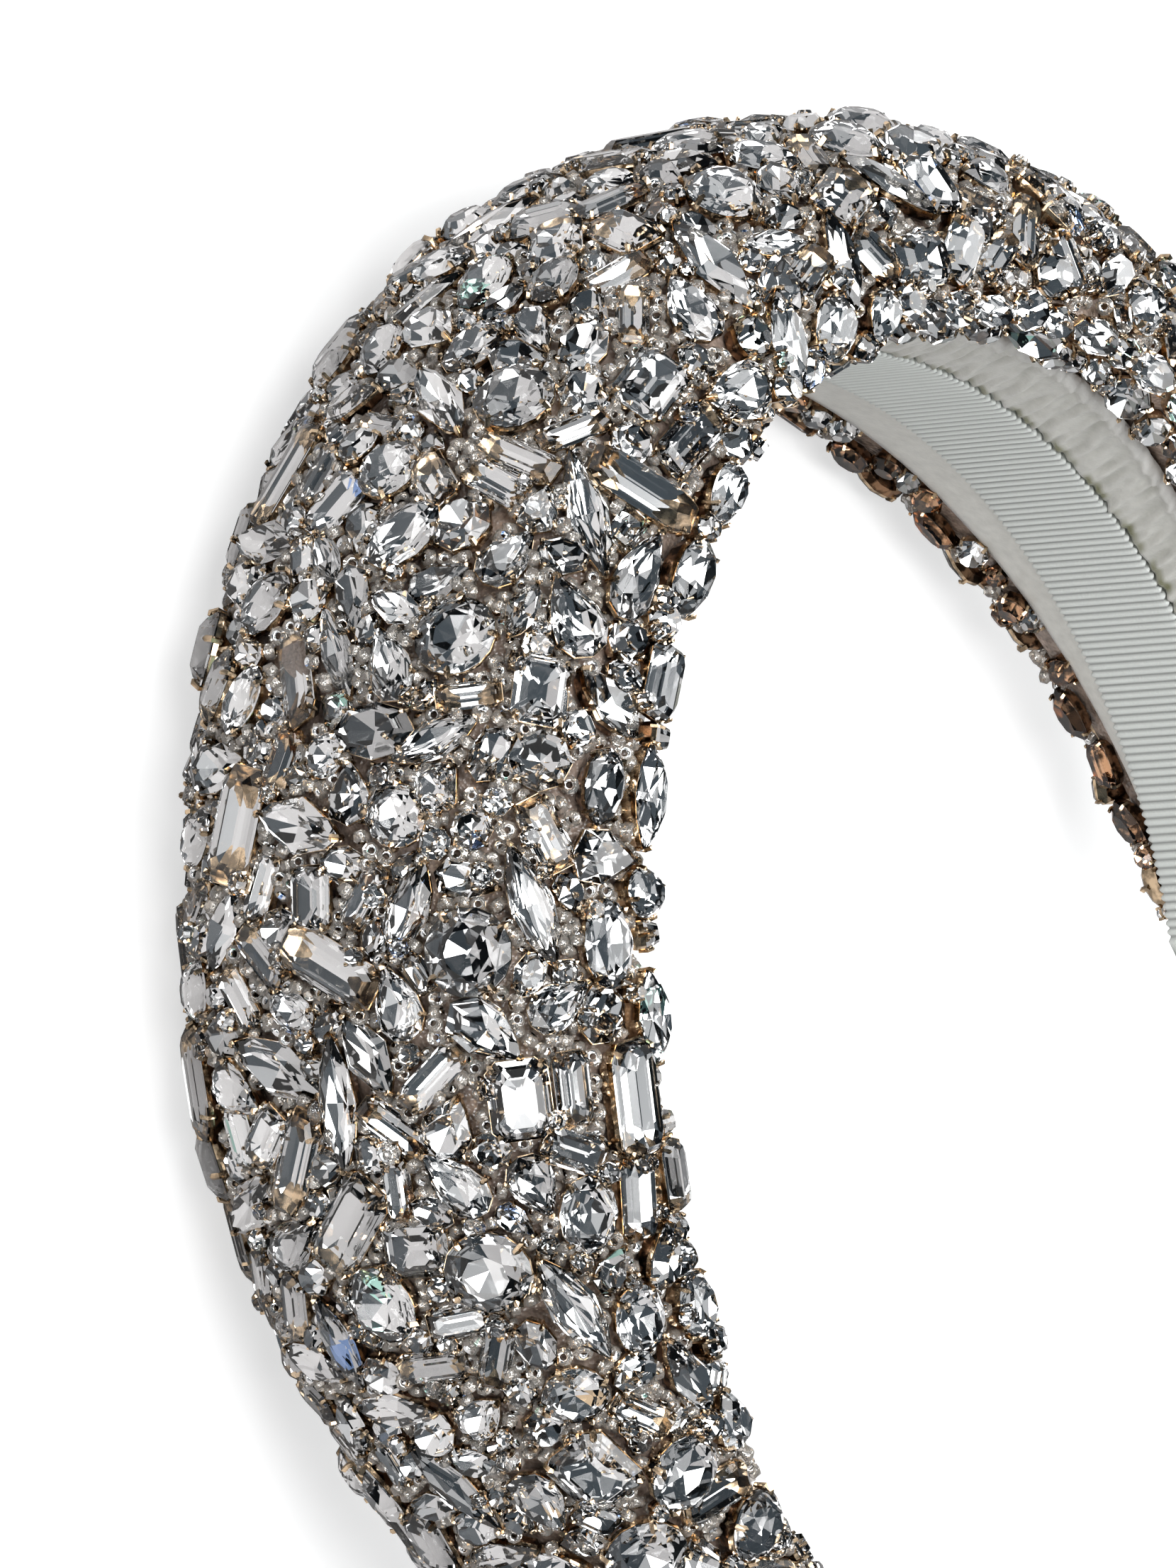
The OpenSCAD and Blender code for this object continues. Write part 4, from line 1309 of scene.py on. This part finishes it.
class HEADBAND_OT_lining(bpy.types.Operator):
    """Satin strip on the inner face, gathered across on the front side"""
    bl_idname = "headband.lining"
    bl_label = "Satin lining"

    def execute(self, context):
        """A closed strip: its gathered inner side, and an outer side of fewer columns along the padding."""
        s, middle = shape(), LINING_ROWS // 2
        phi = np.linspace(-s.pad_end + LINING_SHORT, s.pad_end - LINING_SHORT, LINING_ROWS)[:, None]
        across, out = self.columns(phi)
        inner, marks = self.gathered(phi * s.head_half_w, across, out)
        outer = across[:, ::-OUTER_STEP]
        rings = np.concatenate([band_point(phi, across, inner),
                                band_point(phi, outer, self.floor_at(phi, outer) - LINING_OUTER)], axis=1)
        points, faces = closed_tube(laid(rings))
        marks = {key: np.concatenate([mark, mark[:, ::-OUTER_STEP]], axis=1) for key, mark in marks.items()}
        piece = add_piece("satin_lining", points, faces, ["grey_satin"], smooth=True, on_points=marks)
        length = path_length(band_point(phi[:, 0], 0.0, s.pad_floor))
        width = path_length(band_point(0.0, across[middle], self.floor_at(0.0, across[middle])))
        mean_width = float(np.ptp(across, axis=1).mean() / np.ptp(across[middle])) * width
        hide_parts("lining")
        return {"FINISHED"}

    def columns(self, phi):
        """Places across the strip, from its front edge over the ribbon's width to its back edge, and how far
        each is on its way from the ribbon, 0, to the edge, 1, below 0 under the ribbon."""
        s = shape()
        front, back = s.lining_front * half_width(phi, -1), s.lining_back * half_width(phi, 1)
        under = np.minimum(s.band_w / 2 - UNDER_SHORT, UNDER_SHARE * np.minimum(front, back))
        ahead, behind = np.linspace(1, 0, FRONT_COLUMNS)[None], np.linspace(0, 1, BACK_COLUMNS)[None]
        across = np.concatenate([-under - (front - under) * ahead, under * UNDER_COLUMNS,
                                 under + (back - under) * behind], axis=1)
        return across, np.concatenate([ahead, np.full_like(UNDER_COLUMNS, -1.0), behind], axis=1)

    def floor_at(self, phi, across):
        """Level of the padding's inner face at a place across it."""
        turned = np.clip(signed_pow(across / half_width(phi, across), 1 / SIDE_POWER), -1, 1)
        return floor_level(-np.arccos(turned))

    def waves(self, x, y):
        """Sum of three sine waves at a place along and across the strip in mm. Each one's steps wander, and
        the two finer ones also swell and fade along the strip."""
        fine = np.sin(x * 2.9 + np.sin(x * 0.4 + y * 0.5)) * (0.7 + 0.5 * np.sin(x * 0.53 - y * 0.9))
        finer = (0.6 * np.sin(x * 4.7 + y * 0.3 + 1.3 + np.sin(x * 0.31))
                 * (0.7 + 0.5 * np.sin(x * 0.37 + y * 1.1)))
        broad = 0.6 * np.sin(x * 1.3 - y * 0.3 + 0.7 + 2 * np.sin(x * 0.17))
        return fine + finer + broad

    def gathered(self, length, across, out):
        """Level of the strip's inner side, which swells beside the ribbon, where slanted waves raise the
        gathers, and its marks: glue in patches at the ribbon's front edge, the pale edge, and the fold mark,
        which is painted shade in the gathers' hollows and painted light on their crests and over the back
        side."""
        s, look = shape(), cloth()
        x, y = (length - look.gather_slant * across) / MM, across / MM
        front, back = (across < 0) * (out >= 0), (across > 0) * (out >= 0)
        wave = self.waves(x, y)
        beside = np.clip(out / START_WAY, 0, 1)
        ends = np.sqrt(np.clip((1 - out) / END_WAY, 0, 1))
        fold = (look.gather_depth * wave * (front + BACK_GATHERS * back) * beside
                * (EDGE_GATHERS + (1 - EDGE_GATHERS) * ends))
        swell = (look.bulge * (front + BACK_SWELL * back) * np.sqrt(beside)
                 * (1 - SWELL_LOSS * np.clip(out, 0, 1) ** SWELL_POWER) * ends)
        roll = look.edge_roll * front * np.sin(math.pi * np.clip((1 - out) / ROLL_WAY, 0, 1))
        inner = self.floor_at(length / s.head_half_w, across) - LINING_INNER - fold - swell - roll
        line = np.clip(1.3 - np.abs(-across - s.band_w / 2 - GLUE_MIDDLE) / GLUE_HALF, 0, 1)
        patches = np.clip(0.6 + 0.5 * np.sin(x * 0.9) + 0.35 * np.sin(x * 2.3), 0, 1)
        edge = np.clip(1.2 - (1 - out) * pad_width(length / s.head_half_w) / 4 / PALE_EDGE, 0, 1)
        # Painted shade and light: lower in the gathers' hollows, higher on their crests, and highest over the
        # back side
        painted_fold_shade = 0.5 + np.clip(0.25 * wave * front, -0.5, 0.25) + BACK_PAINTED_LIGHT * back
        return inner, {"glue": line * patches, "edge": edge, "fold": painted_fold_shade}


def path_length(points):
    """Sum of the distances from each point to the next."""
    return float(np.linalg.norm(np.diff(points, axis=0), axis=1).sum())


# Rows for each of the ribbon's ribs, angle before a tip where the ribs end, and rows from there in degrees
# before the tip
RIB_ROWS, PLAIN_TIP = 6, math.radians(6)
TIP_ROWS = [0.0, 0.4, 0.8, 1.4, 2.2, 3.2, 4.4, 5.6]
# Way along the band near a tip for each radian, in half widths of the head, the way that its first row is
# taken to be at, and the least square of the width's share there
TIP_PACE, TIP_START, TIP_LEAST = 1.18, 0.4 * MM, 0.04
# Powers of the painted shade over a rib, darker in its grooves, and of the rounding at the ribbon's edges
RIB_PAINTED_SHADE, EDGE_POWER = 0.7, 30
# Points across the ribbon's face and back, how far its edges curve back, and how far its back is narrower
FACE_POINTS, BACK_POINTS, EDGE_CURVE, BACK_INSET = 14, 6, 0.25 * MM, 0.6 * MM
# Points on the ribbon's edges from the face to the back: how far in and how deep, in mm
EDGE_INSETS, EDGE_LEVELS = [0.08, 0.35], [0.6, 1.1]


class HEADBAND_OT_ribbon(bpy.types.Operator):
    """Ribbed ribbon round the stiff inner band, with looped edges and round tips"""
    bl_idname = "headband.ribbon"
    bl_label = "Ribbon band"

    def execute(self, context):
        """Rings by the length of the arc: a cosine for each rib, and a half circle's width at the tips."""
        s, look = shape(), cloth()
        run = s.band_end - PLAIN_TIP
        mean_radius = (s.head_half_w + s.head_rise) / 2
        rows = int(2 * run * mean_radius / look.rib_pitch * RIB_ROWS)
        tips = np.radians(TIP_ROWS)
        phi = np.concatenate([tips - s.band_end, np.linspace(-run, run, rows), (s.band_end - tips)[::-1]])
        from_tip = (s.band_end - np.abs(phi)) * TIP_PACE * s.head_half_w + TIP_START
        short = 1 - np.clip(from_tip / (s.band_w / 2), 0, 1)
        share = np.sqrt(np.clip(1 - short ** 2, TIP_LEAST, 1))
        step = np.hypot(np.diff(s.head_half_w * np.sin(phi)), np.diff(s.head_rise * np.cos(phi)))
        arc = np.concatenate([[0], np.cumsum(step)])
        rib = 0.5 - 0.5 * np.cos(2 * math.pi * arc / look.rib_pitch)
        loop = np.sqrt(rib) * (share > 0.99)
        half = share * (s.band_w / 2 - look.picot_depth) + look.picot_depth * loop
        rings = self.section(phi[:, None], half[:, None], rib[:, None])
        points, faces = closed_tube(laid(rings))
        # Painted shade for the ribbon's colour: lowest in the grooves between the ribs
        height = rib[:, None] ** RIB_PAINTED_SHADE * np.ones((1, rings.shape[1]))
        piece = add_piece("ribbon", points, faces, ["grosgrain"], smooth=True, on_points={"tone": height})
        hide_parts("ribbon_band")
        return {"FINISHED"}

    def section(self, phi, half, rib):
        """Rings of the ribbon's section: the ribbed face, thin rounded edges and a plain back."""
        s, look = shape(), cloth()
        u = np.sin(np.linspace(-math.pi / 2, math.pi / 2, FACE_POINTS))[None]
        groove = look.rib_depth * (1 - rib) * (1 - np.abs(u) ** EDGE_POWER)
        top = band_point(phi, half * u, EDGE_CURVE * np.abs(u) ** EDGE_POWER + groove)
        v = np.linspace(1, -1, BACK_POINTS)[None]
        back = band_point(phi, (half - BACK_INSET) * v, s.band_t + 0 * v)
        insets, levels = np.array([EDGE_INSETS]) * MM, np.array([EDGE_LEVELS]) * MM
        right = band_point(phi, half - insets, levels)
        left = band_point(phi, insets[:, ::-1] - half, levels[:, ::-1])
        return np.concatenate([top, right, back, left], axis=1)


class HEADBAND_OT_large_stones(bpy.types.Operator):
    """The frame's stones as cut crystals, each in the place and size of its solid"""
    bl_idname = "headband.large_stones"
    bl_label = "Large stones"

    def execute(self, context):
        """A piece of cut stones for each of the frame's stone nodes, and one piece of all their cups."""
        for name, seats in frame_seats().items():
            batch = Batch()
            add_gems(batch, seats, brilliant, ROUND_SIDES, LARGE_SIDES)
            piece = batch.piece(name.replace("stone", "crystal", 1), STONE_FINISHES, "crystal")
            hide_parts(name)
        cups = Batch()
        add_cups(cups, all_frame_seats(), ROUND_SIDES, LARGE_SIDES)
        cups.piece("large_claw_cups", CUP_FINISHES, "setting_metal")
        return {"FINISHED"}


class HEADBAND_OT_small_stones(bpy.types.Operator):
    """Smaller crystals that fill the gaps between the large ones"""
    bl_idname = "headband.small_stones"
    bl_label = "Small stones"

    def execute(self, context):
        """The filling's stones, tilted at random, and their cups: a piece of each for each arm."""
        seats = tilted(filling()[0], np.random.default_rng(stones().seed + 2), stones().tilt)
        left = seats["at"][:, 0] < 0
        for side, mask in (("left", left), ("right", ~left)):
            some = select(seats, mask)
            batch, cups = Batch(), Batch()
            add_gems(batch, some, chaton, SMALL_SIDES, SMALL_SIDES)
            add_cups(cups, some, SMALL_SIDES, SMALL_SIDES)
            batch.piece("small_crystals_" + side, STONE_FINISHES, "crystal")
            cups.piece("small_claw_cups_" + side, CUP_FINISHES, "setting_metal")
        return {"FINISHED"}


# Points round a bead and in its section
BEAD_AROUND, BEAD_SECTION = 8, 5
# Radius of a bead's wall from its hole's axis, half its thickness and half its height, out of its radius
WALL_MIDDLE, WALL_HALF, BEAD_HALF = 0.63, 0.37, 0.66
# How much a bead's hole points outwards, and the usual size of what chance adds to that
HOLE_OUT, HOLE_CHANCE = 0.5, 0.6
# Height of a bead's middle in its radii, and the most that chance adds, in mm
BEAD_HEIGHT, BEAD_RAISED = 0.8, 1.1


class HEADBAND_OT_seed_beads(bpy.types.Operator):
    """Seed beads in the last gaps: rounded glass rings with a silver-lined hole"""
    bl_idname = "headband.seed_beads"
    bl_label = "Seed beads"

    def execute(self, context):
        """A ring on each bead's place, its hole's axis turned at random: a piece for each arm."""
        rng = np.random.default_rng(stones().seed + 3)
        at, up, radius = (np.array(column) for column in zip(*filling()[1]))
        points, glass, lining = self.ring(BEAD_AROUND, BEAD_SECTION)
        axis = unit(up * HOLE_OUT + rng.normal(0, HOLE_CHANCE, up.shape))
        side = unit(np.cross(axis, rng.normal(size=up.shape)))
        other = np.cross(axis, side)
        raised = radius * BEAD_HEIGHT + rng.uniform(0, BEAD_RAISED, len(radius)) * MM
        spot = at + up * raised[:, None]
        placed = spot[:, None] + radius[:, None, None] * (
            points[None, :, :1] * side[:, None] + points[None, :, 1:2] * other[:, None]
            + points[None, :, 2:] * axis[:, None])
        tone = rng.random(len(radius))
        for side_name, mask in (("left", at[:, 0] < 0), ("right", at[:, 0] >= 0)):
            batch = Batch()
            batch.add(placed[mask], [([glass], GLASS), ([lining], FOIL)], tone[mask])
            batch.piece("seed_beads_" + side_name, BEAD_FINISHES, "crystal", smooth=True)
        return {"FINISHED"}

    def ring(self, around, section):
        """A bead of outer radius 1: an ellipse carried round the hole. The faces round the hole are apart."""
        a = np.arange(around)[:, None] * 2 * math.pi / around
        b = (np.arange(section)[None] + 0.5) * 2 * math.pi / section
        reach = WALL_MIDDLE + WALL_HALF * np.cos(b)
        grid = np.broadcast_arrays(reach * np.cos(a), reach * np.sin(a), BEAD_HALF * np.sin(b))
        points = np.stack(grid, axis=-1)
        i, j = (k.ravel() for k in np.meshgrid(np.arange(around), np.arange(section), indexing="ij"))
        m, n = (i + 1) % around, (j + 1) % section
        faces = np.stack([i * section + j, m * section + j, m * section + n, i * section + n], axis=1)
        hole = (j == 1) | (j == 2)
        return points.reshape(-1, 3), faces[~hole], faces[hole]


class HEADBAND_OT_stage(bpy.types.Operator):
    """Pale floor, softboxes and the camera at the photograph's angle"""
    bl_idname = "headband.stage"
    bl_label = "Stage"

    def execute(self, context):
        """Floor, world, lamps and camera, with light shown as it is."""
        studio = context.scene.headband_studio
        add_floor(studio)
        add_world()
        add_lights(studio)
        add_camera(studio)
        context.scene.view_settings.view_transform = "Standard"
        return {"FINISHED"}


# The floor's radius in metres and its sides
FLOOR_RADIUS, FLOOR_SIDES = 30, 64
# Colour of the dim room
ROOM_COLOUR = (0.70, 0.86, 1.0)


def for_camera(tree, hidden, seen):
    """Output of two mixed shaders: the seen one for the camera's own rays, and the hidden one for others."""
    path = add_node(tree, "ShaderNodeLightPath")
    mix = add_node(tree, "ShaderNodeMixShader")
    tree.links.new(path.outputs["Is Camera Ray"], mix.inputs[0])
    tree.links.new(hidden.outputs[0], mix.inputs[1])
    tree.links.new(seen.outputs[0], mix.inputs[2])
    return mix.outputs[0]


def add_floor(studio):
    """A wide disc on the table's level, that the stones mirror as a dimmer one."""
    mesh = bpy.data.meshes.new("floor")
    t = np.arange(FLOOR_SIDES) * 2 * math.pi / FLOOR_SIDES
    ring = np.column_stack([FLOOR_RADIUS * np.cos(t), FLOOR_RADIUS * np.sin(t), np.zeros(FLOOR_SIDES)])
    mesh.from_pydata(ring.tolist(), [], [list(range(FLOOR_SIDES))])
    made, tree, shader = new_material("pale_floor")
    set_inputs(shader, {"Base Color": (*studio.floor_colour, 1), "Roughness": 0.7,
                        "Emission Color": (1, 1, 1, 1), "Emission Strength": studio.floor_glow})
    dim = add_node(tree, "ShaderNodeBsdfDiffuse")
    dim.inputs["Color"].default_value = (*studio.bounce_colour, 1)
    tree.links.new(for_camera(tree, dim, shader), tree.nodes["Material Output"].inputs[0])
    mesh.materials.append(made)
    floor = bpy.data.objects.new("floor", mesh)
    bpy.context.scene.collection.objects.link(floor)


def add_world():
    """Dim bluish room, and plain white where the camera looks past the floor."""
    world = bpy.data.worlds.new("studio")
    bpy.context.scene.world = world
    world.use_nodes = True
    tree = world.node_tree
    back = tree.nodes["Background"]
    set_inputs(back, {"Color": (*ROOM_COLOUR, 1), "Strength": bpy.context.scene.headband_studio.room})
    white = add_node(tree, "ShaderNodeBackground")
    white.inputs["Color"].default_value = (1, 1, 1, 1)
    tree.links.new(for_camera(tree, back, white), tree.nodes["World Output"].inputs[0])


# Softboxes: name, azimuth and elevation in degrees, distance, width and height in metres, share of the key
SOFTBOXES = [
    ("key", -150, 62, 3.4, 2.2, 1.6, 1.0),
    ("top", 20, 80, 3.2, 1.5, 2.0, 0.9),
    ("left", -95, 24, 3.4, 1.0, 2.0, 1.1),
    ("right", 60, 34, 3.4, 0.8, 2.2, 0.9),
    ("rear", 170, 20, 3.6, 2.0, 0.8, 0.8),
    ("card over", -60, 70, 3.0, 1.4, 1.4, 0.08),
    ("card front", -20, 30, 3.0, 1.6, 1.8, 0.07),
    ("card left", -125, 12, 3.0, 1.6, 1.0, 0.08),
    ("card right", 110, 30, 3.0, 2.2, 1.6, 0.07),
    ("card back", -178, 34, 3.0, 1.2, 1.0, 0.09),
]
# Height of the point that the softboxes are placed round, the camera's sensor in mm, and how near and far
# it sees
AIM_HEIGHT, SENSOR, SEEN = 0.03, 36.0, (0.05, 100.0)


def direction(azimuth, elevation):
    """Unit direction at an angle round from the front and an angle up."""
    return np.array([math.sin(azimuth) * math.cos(elevation), -math.cos(azimuth) * math.cos(elevation),
                     math.sin(elevation)])


def add_lights(studio):
    """Area lights that face the band, with the same radiance times each one's share."""
    for name, azimuth, elevation, distance, width, height, share in SOFTBOXES:
        light = bpy.data.lights.new(name, "AREA")
        light.shape = "RECTANGLE"
        light.size, light.size_y = width, height
        light.energy = studio.key * share * math.pi * width * height
        lamp = bpy.data.objects.new(name, light)
        back = direction(math.radians(azimuth), math.radians(elevation))
        right = unit(np.cross([0, 0, 1], back))
        place_at = back * distance + np.array([0, 0, AIM_HEIGHT])
        lamp.matrix_world = look_matrix(right, np.cross(back, right), back, place_at)
        bpy.context.scene.collection.objects.link(lamp)


def look_matrix(right, up, back, place_at):
    """Matrix of a lamp or camera by its own three directions and its place."""
    rows = np.eye(4)
    rows[:3] = np.column_stack([right, up, back, place_at])
    return Matrix(rows.tolist())


def add_camera(studio):
    """The camera's place and turn round the worn band, carried to the band at rest."""
    a, r = studio.azimuth, studio.roll
    back = direction(a, studio.elevation)
    level = np.array([math.cos(a), math.sin(a), 0.0])
    upright = np.cross(back, level)
    right = math.cos(r) * level + math.sin(r) * upright
    up = -math.sin(r) * level + math.cos(r) * upright
    spot = back * studio.distance + right * studio.aside + up * studio.upward
    data = bpy.data.cameras.new("camera")
    data.lens = studio.focal
    data.sensor_width = SENSOR
    data.clip_start, data.clip_end = SEEN
    camera = bpy.data.objects.new("camera", data)
    camera.matrix_world = look_matrix(*(laid_direction(v) for v in (right, up, back)), laid(spot))
    bpy.context.scene.collection.objects.link(camera)
    bpy.context.scene.camera = camera


class HEADBAND_PT_panel(bpy.types.Panel):
    """Buttons and sizes in the 3D view's sidebar"""
    bl_idname = "HEADBAND_PT_panel"
    bl_label = "Headband"
    bl_space_type = "VIEW_3D"
    bl_region_type = "UI"
    bl_category = "Headband"

    def draw(self, context):
        """A button for each step, and a box of fields for each group of sizes and colours."""
        for operator in STEPS:
            self.layout.operator(operator.bl_idname)
        for name in GROUPS:
            box = self.layout.box()
            group = getattr(context.scene, name)
            for key in group.bl_rna.properties.keys():
                if key not in ("rna_type", "name"):
                    box.prop(group, key)


# Groups of sizes and colours by their names in the scene, and the steps in their order
GROUPS = {"headband_shape": BandShape, "headband_cloth": ClothLook, "headband_stones": StoneLook,
          "headband_studio": StudioSetup}
STEPS = [HEADBAND_OT_padding_cloth, HEADBAND_OT_lining, HEADBAND_OT_ribbon, HEADBAND_OT_large_stones,
         HEADBAND_OT_small_stones, HEADBAND_OT_seed_beads, HEADBAND_OT_stage]


def register():
    """Makes the groups, the steps and the panel known."""
    for group in GROUPS.values():
        bpy.utils.register_class(group)
    for name, group in GROUPS.items():
        setattr(bpy.types.Scene, name, PointerProperty(type=group))
    for operator in STEPS:
        bpy.utils.register_class(operator)
    bpy.utils.register_class(HEADBAND_PT_panel)


def unregister():
    """Takes back what register has done, in the opposite order."""
    bpy.utils.unregister_class(HEADBAND_PT_panel)
    for operator in reversed(STEPS):
        bpy.utils.unregister_class(operator)
    for name, group in GROUPS.items():
        delattr(bpy.types.Scene, name)
        bpy.utils.unregister_class(group)


def main():
    """Runs the steps in order."""
    register()
    for operator in STEPS:
        group, name = operator.bl_idname.split(".")
        getattr(getattr(bpy.ops, group), name)()


if __name__ == "__main__":
    main()
